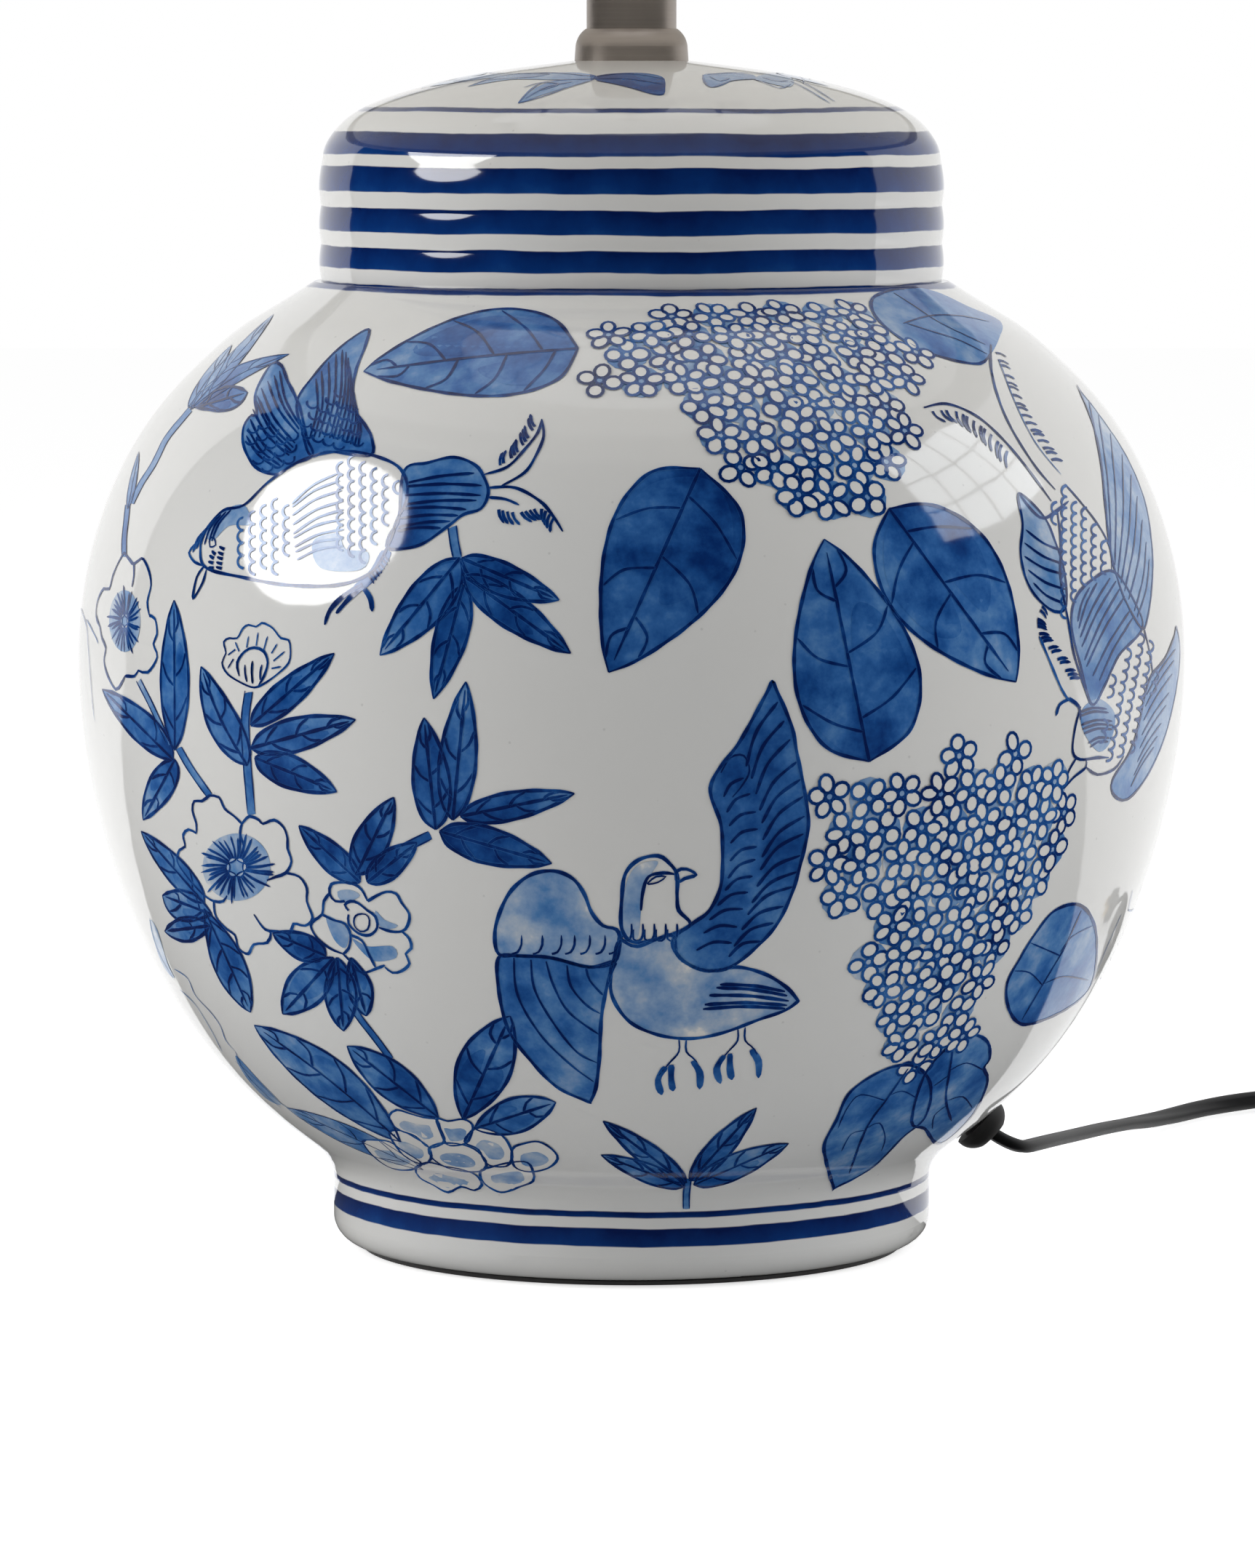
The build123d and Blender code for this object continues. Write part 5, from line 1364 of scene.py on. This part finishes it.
feathers(
    diver,
    [(-85, 212.5), (-79, 212.5), (-71, 210)],
    [(-83, 227.5), (-75, 235.5), (-72.5, 220.5)],
    12,
    -1.2,
    0.45,
)
scales(
    diver,
    [(-85, 220.5), (-79, 224.5), (-74, 223.5), (-70.5, 214.5), (-70, 210), (-79, 211.5), (-84.5, 212.5)],
    2.9,
    70,
)
scales(diver, [(-100, 217.5), (-94.5, 216.5), (-87.5, 212.5), (-89, 206.5), (-94.5, 205), (-99.5, 208)], 3.0, 110)
scales(
    diver,
    [(-75, 206), (-62.5, 204), (-60.5, 198), (-64.5, 187.5), (-69, 181), (-75, 183.5), (-76.5, 194)],
    3.3,
    0,
    0.6,
)
scales(diver, [(-102, 192), (-94.5, 196), (-89, 194), (-89, 183.5), (-93.5, 177.5), (-102.5, 179.5)], 3.3, 0, 0.6)
feathers(
    diver,
    [(-89, 196), (-88.5, 185.5), (-87.5, 180)],
    [(-77, 204), (-75.5, 196), (-75.5, 183.5)],
    9,
    1.0,
    0.4,
    0.55,
)
feathers(
    diver,
    [(-58.5, 201.5), (-60, 194), (-61.5, 187.5)],
    [(-41.5, 204), (-39.5, 197.5), (-50.5, 188.5)],
    8,
    0.5,
    0.55,
)
feathers(
    diver,
    [(-104, 194), (-107.5, 192.5), (-111.5, 188.5)],
    [(-110, 185.5), (-114, 183.5), (-115, 182.5)],
    7,
    -0.8,
    0.5,
)
diver.stroke([(-111.5, 188.5), (-114.5, 184.5), (-116, 182.5), (-114.5, 180), (-112, 179)], 0.8)
diver.stroke([(-110.5, 186), (-109.5, 186.5), (-109, 184.5), (-110.5, 184)], 0.45, closed=True)
diver.stroke([(-112, 179), (-114, 176), (-115, 170.5), (-112.5, 174.5), (-111.5, 178)], 0.9, 0.86)
dashes(diver, [(-107.5, 177.5), (-107, 182), (-106, 185.5)], 5, 1.6, 0.2)
dashes(diver, [(-109.5, 177.5), (-109.5, 181), (-108, 183.5)], 4, 1.4, 0.2)
diver.stroke([(-38.5, 203), (-32.5, 205), (-28, 209.5), (-24.5, 214), (-23.5, 217.5)], 0.8)
diver.stroke([(-34, 200), (-28, 203.5), (-25, 208), (-23, 213), (-23.5, 217.5)], 0.8)
dashes(diver, [(-35, 205), (-30.5, 208), (-27, 212.5), (-24.5, 217)], 10, 2.6, 0.9)
diver.stroke([(-37.5, 199.5), (-30.5, 199.5), (-24, 196), (-20.5, 192), (-18, 188)], 0.85)
diver.stroke([(-37.5, 197), (-33, 196.5), (-29.5, 195)], 0.8)
dashes(diver, [(-35.5, 194), (-30, 193), (-23.5, 194), (-19, 190)], 12, -3.2, 0.7)
LEG = [(-65.5, 183), (-63, 182.5), (-65.5, 177.5), (-70, 173), (-73, 173.5), (-68.5, 178)]
diver.wash(LEG, 0.6)
dashes(diver, [(-65, 182.5), (-67, 179), (-70, 175)], 7, 2.4, 0.3, 0.6)
for toe in (
    [(-70.5, 174), (-75, 171.5), (-79, 167.5), (-80.5, 163.5)],
    [(-70.5, 173.5), (-68.5, 170.5), (-68, 167)],
    [(-70.5, 173.5), (-74, 170.5), (-77.5, 166.5)],
):
    diver.stroke(toe, 1.3, 0.8, ends=(1, 0.3))

# %% Dove
dove = Painting(jar_skin)
DOVE_COVERT = [
    (-35, 76.5), (-36, 82), (-34.5, 88), (-31.5, 93.5), (-26.5, 97.5), (-20.5, 98.5), (-15.5, 96.5), (-12.5, 92.5),
    (-10.5, 87.5), (-7.5, 84), (-4, 83), (-3, 80), (-4.5, 74.5), (-11, 73), (-21.5, 75.5), (-30, 76),
]
DOVE_WING_LEFT = [
    (-35, 75.5), (-35, 67), (-32.5, 56.5), (-26.5, 48), (-19.5, 41), (-11, 37), (-11, 37), (-9.5, 40.5),
    (-8.5, 48.5), (-8, 59), (-7, 65.5), (-5.5, 71.5), (-4.5, 74.5), (-11, 73), (-21.5, 75.5), (-30, 76),
]
DOVE_WING_RIGHT = [
    (16, 84.5), (20.5, 88), (23.5, 94.5), (24, 103), (23.5, 111), (21, 118), (21, 121.5), (23, 125.5), (28, 132),
    (32, 139), (36, 146.5), (37, 148.5), (38, 146.5), (42, 137), (43.5, 129.5), (45.5, 119.5), (46.5, 110.5),
    (44.5, 100.5), (42, 92), (38, 84), (32, 77.5), (26, 73), (20.5, 72), (15.5, 73.5), (12, 76.5), (11, 80.5),
]
DOVE_BODY = [
    (-3, 80), (1.5, 78.5), (10.5, 81.5), (12, 76.5), (15.5, 73.5), (20.5, 72), (28, 73), (35.5, 71), (41, 67.5),
    (44, 64), (44, 64), (40.5, 61.5), (33.5, 59), (24, 55.5), (15.5, 54), (7, 55), (-0.5, 58.5), (-5, 65),
    (-5.5, 71.5), (-4.5, 75.5),
]
DOVE_HEAD = [
    (-2.5, 83), (-2.5, 92), (-1.5, 98), (2, 101.5), (7, 102.5), (10, 100.5), (12, 97.5), (12, 92), (12.5, 88),
    (15.5, 84.5), (11.5, 82), (1.5, 79.5),
]
dove.wash(DOVE_COVERT, 0.22, (-21.5, 91.5, 10, 0.3))
dove.wash(DOVE_WING_LEFT, 0.44, (-7.5, 69.5, 20, 0.54))
dove.wash(DOVE_WING_RIGHT, 0.54, (35, 121.5, 30, 0.64))
dove.wash(DOVE_BODY, 0.22, (5, 78, 12, 0.34))
dove.wash(
    [(-2, 82), (-2, 91.5), (-0.5, 97.5), (2.5, 100.5), (7, 101), (5, 97.5), (3, 94.5), (2.5, 88), (1.5, 80.5)],
    0.2,
    lift=FILL_LIFT,
)
for shape in (DOVE_COVERT, DOVE_WING_LEFT, DOVE_WING_RIGHT, DOVE_BODY, DOVE_HEAD):
    dove.stroke(shape, 1.0, 0.88, closed=True)
for line in (
    [(-31, 75.5), (-30, 65.5), (-24, 55), (-16, 47), (-10, 42.5)],
    [(-26.5, 75), (-25.5, 67), (-20.5, 58), (-14.5, 50.5), (-9, 47.5)],
    [(-22.5, 74.5), (-20.5, 68), (-16.5, 61), (-8.5, 55)],
    [(-17, 73.5), (-16, 68), (-12, 63), (-8, 60.5)],
    [(-12, 73), (-11, 69.5), (-7.5, 65.5)],
):
    dove.stroke(line, 0.66, 0.9)
for across in (-29, -23.5, -18.5, -15, -11, -7, -3.5):
    dove.stroke([(x + across, z) for x, z in [(-2.5, 76.5), (-1, 77), (0, 79), (0, 81.5)]], 0.6, ends=(1, 0.3))
feathers(
    dove,
    [(25, 74.5), (29.5, 84), (33.5, 96.5), (34.5, 109), (32, 121.5), (29.5, 127.5)],
    [(33.5, 78.5), (41, 91), (44, 100.5), (45.5, 113), (44, 125.5), (38, 144.5)],
    14,
    1.6,
    0.62,
)
feathers(
    dove,
    [(16.5, 76), (20.5, 85.5), (25, 94.5), (26, 107), (24, 119.5)],
    [(26, 78), (30, 90.5), (32.5, 100.5), (33, 113), (29, 124.5)],
    11,
    1.2,
    0.56,
)
dove.stroke([(23.5, 124.5), (26, 128.5), (29.5, 129), (31, 125), (29, 121), (26.5, 118)], 0.56)
feathers(dove, [(24, 69), (20.5, 65.5), (18.5, 61)], [(40.5, 66.5), (41.5, 64), (40.5, 62)], 5, 0.6, 0.66)
for across in (0, 3, 6, 9, 12):
    dove.stroke(
        [(x + across, z) for x, z in [(-2.5, 83), (-2.5, 80.5), (-1, 80), (0, 81.5), (0, 84.5)]],
        0.62,
        ends=(0.7, 0.7),
    )
dove.stroke([(2.5, 88), (3, 93), (4.5, 97), (8.5, 98), (12, 97.5)], 0.85)
dove.stroke([(4.5, 95.5), (6.5, 97), (9, 97), (7, 95.5), (4.5, 95)], 0.5, closed=True)
dove.stroke([(12, 98.5), (14.5, 99), (17, 97.5), (14, 96.5), (12, 95.5)], 0.9, 0.88, closed=True)
LEGS = [[(12.5, 54), (12.5, 50.5), (10, 47.5), (7, 44)], [(14.5, 54), (14.5, 50.5), (17, 48), (19, 43.5)]]
TOES = [[(9, 46.5), (7, 43), (8, 39)], [(10.5, 47), (10.5, 43), (11, 40)], [(16, 48), (18, 45), (18, 40.5)]]
for across, up in ((0, 0), (15.5, 3)):
    for line in LEGS:
        dove.stroke([(x + across, z + up) for x, z in line], 0.5)
    for toe in TOES:
        dove.stroke([(x + across, z + up) for x, z in toe], 1.7, 0.7, ends=(0.6, 0.2))

# %% Pheasant
pheasant = Painting(jar_skin)
HIGH_WING = [
    (117, 225.5), (117, 225.5), (122.5, 218.5), (129.5, 208), (134.5, 196), (136.5, 183.5), (136.5, 174),
    (135.5, 166), (134, 162.5), (130, 169), (127.5, 175.5), (125.5, 183.5), (124, 196), (123, 206), (121, 215.5),
]
MID_WING = [
    (116.5, 170.5), (121, 175.5), (126.5, 177.5), (132, 169.5), (134, 162.5), (128, 155.5), (124.5, 148),
    (121, 142.5), (118, 152.5), (115.5, 163),
]
SHORT_WING = [
    (101.5, 198), (108, 192), (111, 185.5), (113.5, 177.5), (114, 168.5), (111, 167), (106.5, 170.5), (103.5, 175.5),
    (102, 182.5), (102.5, 190),
]
TAIL_FAN = [
    (136, 149), (140, 154.5), (142.5, 160.5), (143, 163), (144, 156.5), (143, 146), (140, 133.5), (135.5, 123.5),
    (130.5, 117.5), (127, 118.5), (126.5, 122.5), (131, 130), (133.5, 138),
]
pheasant.wash(HIGH_WING, 0.32)
pheasant.wash(MID_WING, 0.38, (122.5, 148.5, 10, 0.6))
pheasant.wash(SHORT_WING, 0.24)
pheasant.wash(TAIL_FAN, 0.34)
for shape in (HIGH_WING, MID_WING, SHORT_WING, TAIL_FAN):
    pheasant.stroke(shape, 0.8, closed=True)
feathers(
    pheasant,
    [(125, 185.5), (128, 175.5), (133, 165)],
    [(119, 223.5), (130.5, 204), (136, 179.5)],
    9,
    -0.8,
    0.42,
)
feathers(
    pheasant,
    [(117, 165), (119.5, 152.5), (123.5, 148.5)],
    [(119.5, 173), (126.5, 175.5), (132, 165)],
    8,
    0.6,
    0.42,
)
feathers(
    pheasant,
    [(113.5, 183.5), (114, 175.5), (113, 168.5)],
    [(103.5, 190), (103, 181.5), (106, 173)],
    5,
    0.8,
    0.46,
)
feathers(
    pheasant,
    [(131, 119.5), (133.5, 130), (135.5, 146.5)],
    [(137, 130), (141, 144.5), (143, 158.5)],
    8,
    0.4,
    0.4,
)
BACK_SCALES = [
    (113.5, 200.5), (117.5, 196), (122.5, 189.5), (125.5, 183.5), (126, 177.5), (121, 174.5), (116.5, 170.5),
    (114.5, 165), (112.5, 175.5), (112, 185.5), (111.5, 194),
]
scales(pheasant, BACK_SCALES, 2.9, 0, 0.66)
pheasant.stroke(
    [(111.5, 194), (112.5, 185.5), (112.5, 175.5), (114.5, 165), (116, 156.5), (118.5, 148.5), (120.5, 142.5)],
    0.8,
)
pheasant.stroke([(113.5, 200.5), (117.5, 196), (122.5, 189.5), (125.5, 183.5), (126, 177.5)], 0.7)
BREAST = [
    (134.5, 162.5), (136, 156.5), (137, 150.5), (134, 138), (131, 130), (126, 128.5), (122.5, 132), (125, 142),
    (125, 148), (128.5, 154.5),
]
scales(pheasant, BREAST, 3.0, 170, 0.7)
pheasant.stroke([(134.5, 162.5), (136, 156.5), (137, 150)], 0.7)
pheasant.wash([(119, 142), (123, 144), (127, 140), (126, 133), (123, 130), (119.5, 134), (118, 138.5)], 0.34)
feathers(pheasant, [(117.5, 141), (118.5, 136), (121, 130.5)], [(124.5, 142), (126.5, 137), (125, 132)], 7, 0.8, 0.45)
pheasant.stroke([(118, 142), (116.5, 136), (116, 130), (118, 128), (122.5, 128.5), (125.5, 128.5)], 0.8)
pheasant.stroke([(117, 128.5), (115, 125), (113.5, 120.5), (116.5, 123.5), (119.5, 126), (119.5, 128)], 0.8)
pheasant.stroke([(119.5, 126), (122.5, 124), (127, 125.5), (129.5, 129)], 0.7)
pheasant.stroke([(94, 237), (94, 231), (96, 223), (99.5, 215), (105.5, 205.5), (111, 199)], 0.8)
pheasant.stroke([(96, 233), (101, 220.5), (106, 211), (112.5, 203)], 0.4, 0.6)
dashes(pheasant, [(95, 235.5), (97.5, 229), (101.5, 219.5), (107, 211), (111, 205.5)], 17, 2.2, 0.9)
pheasant.stroke([(76.5, 220.5), (82.5, 221.5), (90, 218.5), (96.5, 213), (103, 205.5), (110, 196)], 0.85)
dashes(pheasant, [(78, 219.5), (85, 219.5), (92.5, 215), (99.5, 208)], 13, -3.2, 1.0)
pheasant.stroke([(101.5, 198), (105, 193.5), (108, 191.5), (111.5, 193.5), (114.5, 196)], 0.9, 0.86)
dashes(pheasant, [(108, 169), (106.5, 165), (107.5, 160), (112.5, 153.5), (116, 148)], 15, 2.4, 0.6)
pheasant.stroke([(107, 160.5), (110, 153.5), (113, 146.5), (115, 143.5)], 0.8, 0.7)
for claw in ([(115, 144), (112.5, 142.5), (111.5, 139.5)], [(115, 144), (117.5, 142), (118, 138.5)]):
    pheasant.stroke(claw, 1.0, 0.8, ends=(1, 0.2))

# %% Faint motifs at the jar's edges
edge_motifs = Painting(jar_skin)
for line in (
    [(-127, 86), (-126, 81), (-124, 75.5), (-120.5, 69.5)],
    [(-120.5, 72.5), (-117, 70), (-115, 65.5), (-111, 61), (-108.5, 57.5), (-107, 53.5), (-104.5, 50.5)],
    [(-119, 67), (-115, 63), (-111, 56.5), (-108, 50.5)],
    [(-104.5, 48), (-98.5, 42.5), (-93.5, 37.5), (-90, 35)],
    [(-104.5, 50.5), (-102, 45), (-96.5, 39), (-92.5, 35.5)],
    [(132, 93.5), (131, 88), (132.5, 88.5)],
    [(129, 87), (126, 80), (122.5, 71.5)],
    [(137.5, 94.5), (134, 85), (128, 74.5), (122.5, 65.5)],
):
    edge_motifs.stroke(line, 0.4, 0.5)
edge_motifs.wash([(-127, 85.5), (-125, 83), (-122.5, 74.5), (-120.5, 70), (-123, 72.5), (-125.5, 78.5)], 0.26)
edge_motifs.wash([(-104.5, 49.5), (-98.5, 43), (-92.5, 36.5), (-96.5, 38), (-102, 44)], 0.26)

# %% Dome sprigs
dome = Painting(lid_skin)
dome.wash(
    [
        (-42.8, 304.2), (-42.8, 304.2), (-37.4, 306.2), (-29.7, 307.6), (-21.5, 307.8), (-13.7, 307.8), (-9.2, 307),
        (-9.6, 306.2), (-13.7, 306.2), (-21.5, 306), (-31.7, 306),
    ],
    0.36,
)
dome.wash(
    [
        (-29.5, 299.9), (-28.9, 300.7), (-26.4, 302.9), (-22.7, 305), (-17.4, 306.2), (-12.3, 306.6), (-9.8, 306.2),
        (-14.3, 304.8), (-19, 303.4), (-24.8, 301.5),
    ],
    0.46,
)
dome.wash(
    [
        (-9.6, 306.8), (-5.1, 307.6), (2, 307.8), (6.7, 307.2), (8.6, 306.2), (8.8, 304), (8.4, 302.1), (5.7, 302.1),
        (1.4, 303.4), (-3.1, 304.6), (-8.8, 305.8),
    ],
    0.62,
)
for line in (
    [(-42.8, 304.2), (-33.8, 307), (-21.5, 307.8), (-10, 306.8)],
    [(-29.5, 299.9), (-26, 303.6), (-21.5, 305.6), (-9.8, 306.2)],
    [(-29.5, 299.9), (-23.5, 301.5), (-16.4, 304), (-9.8, 306)],
    [(-9.6, 306.8), (-1, 307.6), (8.4, 306.2)],
    [(-9.2, 305.8), (-2.1, 304.4), (5.5, 302.3), (8.6, 302.3)],
    [(-8.8, 306.2), (-1, 306.2), (8.2, 304.8)],
    [(-27.6, 301.1), (-22.3, 304), (-15.4, 305.4)],
    [(-28, 304), (-23.5, 305.2), (-19, 304.8), (-23.5, 303.2)],
):
    dome.stroke(line, 0.6, 0.75)
dome.wash(
    [
        (18.6, 307.2), (21, 307.6), (26.6, 307.8), (31.7, 307.2), (32.1, 306.2), (26.6, 305.8), (23.9, 304.6),
        (21, 304), (19.4, 305.2),
    ],
    0.4,
)
dome.wash(
    [(31.7, 306.2), (34.7, 307.4), (39.8, 307.2), (42.3, 305.8), (41.5, 304.2), (37.8, 304.6), (34.1, 305.6)],
    0.3,
)
for line in (
    [(18.6, 307.2), (19, 305.4), (20.8, 304), (23.5, 304.8), (26.4, 305.8), (32.1, 306.2)],
    [(19.8, 307.4), (26.6, 307.8), (34.7, 307.6), (39.8, 307.6), (43.9, 306.8), (44.8, 305.2)],
    [(31.7, 306.2), (34.7, 305.2), (38.6, 303.8), (41.5, 304.8)],
    [(34.1, 306.6), (37.8, 305.6), (40.7, 305.8)],
    [(20.4, 306.8), (23.1, 305.6), (25.5, 306.4)],
    [(41.5, 305.6), (45.6, 303.6), (51.7, 299.9)],
    [(42.3, 306.2), (46.8, 304.2), (53, 300.3)],
):
    dome.stroke(line, 0.55, 0.66)
dome_turns = (0, 120, 240)

# %% [markdown]
# The front of the jar is painted as the photograph shows it. Its back can't be seen, so it gets the
# same painting turned half round, as potters repeat a pattern. The lid's sprigs are turned by thirds.

# %% Hang the painting
hang(upper, "painted_hydrangea_high")
hang(lower, "painted_hydrangea_low")
hang(branch, "painted_branch")
hang(peony, "painted_peony")
hang(sprigs, "painted_sprigs")
hang(diver, "painted_diving_bird")
hang(dove, "painted_dove")
hang(pheasant, "painted_pheasant")
hang(edge_motifs, "painted_edge_motifs")
hang(dome, "painted_dome_sprigs", dome_turns)

# %% [markdown]
# ## Metal, rubber and moulded parts
# Brushed nickel has fine lines round its axis, which spread its highlights. One group makes such
# lines for every brushed metal, and a second one makes the soft mottling of rubber and mouldings.

# %% Brushed metal group
brushed, entry, result = group(
    "Brushed metal",
    [("Dull", FLOAT, 0.3), ("Spread", FLOAT, 0.12), ("Lines", FLOAT, 1400.0), ("Tint", COLOUR, (0.6, 0.57, 0.53, 1))],
    [("Color", COLOUR), ("Roughness", FLOAT), ("Height", FLOAT)],
)
where = on_object(brushed)
lines = noise(brushed, stretched(brushed, where, (0.02, 0.02, 1.0)), entry["Lines"], 3.0)
mottle = maths(brushed, "MULTIPLY_ADD", noise(brushed, where, 90.0, 3.0), 0.5, lines)
rough = maths(brushed, "ADD", maths(brushed, "MULTIPLY", mottle, entry["Spread"]), entry["Dull"])
strength = remap(brushed, mottle, 0.8, 1.1, From_Max=1.5)
feed(result, Roughness=rough, Height=lines, Color=tinted(brushed, entry["Tint"], strength))
print("brushed metal", len(brushed.nodes), "nodes")


# %% Metals
def grained(shared, name, tint, dull, relief, depth, metallic=0.0, **values):
    """A material whose colour, roughness and fine relief come from a shared group."""
    made, tree, shader = material(name, tint, dull, metallic)
    finish = use(tree, shared, Tint=(*tint, 1), Dull=dull, **values)
    normal = bumped(tree, finish["Height"], relief, depth)
    feed(shader, Base_Color=finish["Color"], Roughness=finish["Roughness"], Normal=normal)
    return made


def brushed_metal(name, tint, dull, spread, lines, depth):
    return grained(brushed, name, tint, dull, 0.25, depth, metallic=1.0, Spread=spread, Lines=lines)


nickel = brushed_metal("brushed_nickel", (0.40, 0.355, 0.32), 0.33, 0.12, 1600.0, 0.00005)
steel = brushed_metal("plated_steel", (0.62, 0.62, 0.60), 0.28, 0.08, 900.0, 0.00002)
brass = brushed_metal("bare_brass", (0.72, 0.52, 0.24), 0.24, 0.08, 900.0, 0.00002)
finish_with(nickel, "neck_base", "neck_tube", "neck_check_ring", "harp_bow", "harp_saddle", "harp_seat", "finial")
finish_with(nickel, "harp_sleeve_left", "harp_sleeve_right", "socket_cap", "socket_shell")
finish_with(steel, "lamp_nipple", "nipple_washer", "nipple_nut", "cap_screw", "terminal_screws")
finish_with(brass, "screw_shell", "centre_contact", "switch_spindle", "plug_blades")
print("metals", nickel.name, steel.name, brass.name)

# %% Mottle group
mottled, entry, result = group(
    "Moulded mottle",
    [("Dull", FLOAT, 0.5), ("Spread", FLOAT, 0.1), ("Size", FLOAT, 300.0), ("Tint", COLOUR, (0.02, 0.02, 0.02, 1))],
    [("Color", COLOUR), ("Roughness", FLOAT), ("Height", FLOAT)],
)
spots = noise(mottled, on_object(mottled), entry["Size"], 4.0)
rough = maths(mottled, "MULTIPLY_ADD", spots, entry["Spread"], entry["Dull"])
colour = tinted(mottled, entry["Tint"], remap(mottled, spots, 0.7, 1.4))
feed(result, Roughness=rough, Height=spots, Color=colour)
print("moulded mottle", len(mottled.nodes), "nodes")


# %% Rubber, phenolic, card, vinyl and paint
# Each finish has its name, colour, roughness with its spread, spot size, relief in metres, and its nodes.
MOULDED = [
    ("matt_rubber", (0.016, 0.015, 0.015), 0.55, 0.15, 700.0, 0.00006, ("foot_pad", "cord_grommet", "nipple_gasket")),
    ("black_phenolic", (0.014, 0.011, 0.009), 0.28, 0.1, 200.0, 0.00002, ("socket_body", "switch_knob")),
    ("liner_card", (0.30, 0.26, 0.20), 0.8, 0.15, 600.0, 0.0001, ("socket_liner",)),
    ("wire_vinyl", (0.62, 0.60, 0.52), 0.4, 0.1, 500.0, 0.00002, ("socket_wires",)),
    ("tie_vinyl", (0.014, 0.014, 0.014), 0.4, 0.2, 900.0, 0.00004, ("cord_tie",)),
    ("plug_vinyl", (0.011, 0.011, 0.012), 0.45, 0.14, 800.0, 0.00005, ("plug_body",)),
    ("fitter_paint", (0.78, 0.77, 0.73), 0.32, 0.12, 260.0, 0.00004, ("shade_bottom_ring", "shade_fitter")),
]
for name, tint, dull, spread, size, depth, worn_by in MOULDED:
    finish_with(grained(mottled, name, tint, dull, 0.3, depth, Spread=spread, Size=size), *worn_by)
print("moulded finishes", len(MOULDED))

# %% [markdown]
# ## Shade cloth
# The shade is linen laminated to a stiff sheet and rolled over two wire rings. Linen is a plain weave
# of uneven threads, so the group lays two sets of drawn-out noise across each other on the cone, one
# round it and one up it, and lets more noise thicken some threads into slubs.

# %% Linen group
CONE_RADIUS = 0.19  # near the shade's middle, turns an angle into metres round it
linen, entry, result = group(
    "Linen weave",
    [("Threads", FLOAT, 1500.0), ("Slub", FLOAT, 0.5), ("Tint", COLOUR, (0.8, 0.77, 0.7, 1))],
    [("Color", COLOUR), ("Height", FLOAT)],
)
parts = place(linen, "ShaderNodeSeparateXYZ", Vector=on_object(linen)).outputs
round_it = maths(linen, "MULTIPLY", maths(linen, "ARCTAN2", parts["Y"], parts["X"]), CONE_RADIUS)
sheet = place(linen, "ShaderNodeCombineXYZ", X=round_it, Y=parts["Z"]).outputs[0]
long_up = stretched(linen, sheet, (1.0, 0.03, 1.0))
long_round = stretched(linen, sheet, (0.03, 1.0, 1.0))
warp = noise(linen, long_up, entry["Threads"], 1.0)
weft = noise(linen, long_round, entry["Threads"], 1.0)
slub = maths(linen, "MULTIPLY", noise(linen, long_round, 330.0, 2.0), entry["Slub"])
height = maths(linen, "ADD", maths(linen, "ADD", warp, weft), slub)
strength = remap(linen, height, 0.82, 1.06, From_Min=0.7, From_Max=1.7)
feed(result, Height=height, Color=tinted(linen, entry["Tint"], strength))
print("linen", len(linen.nodes), "nodes")


# %% Shade finish
def cloth(name, tint, threads, slub):
    made, tree, shader = material(name, tint, 0.85)
    weave = use(tree, linen, Tint=(*tint, 1), Threads=threads, Slub=slub)
    feed(shader, Base_Color=weave["Color"], Normal=bumped(tree, weave["Height"], 0.5, 0.0002), Sheen_Weight=0.15)
    return made


finish_with(cloth("shade_linen", (0.80, 0.77, 0.70), 1500.0, 0.6), "shade_cone")
finish_with(cloth("shade_tape", (0.82, 0.79, 0.72), 2100.0, 0.3), "shade_top_trim", "shade_bottom_trim")
print("shade dressed")
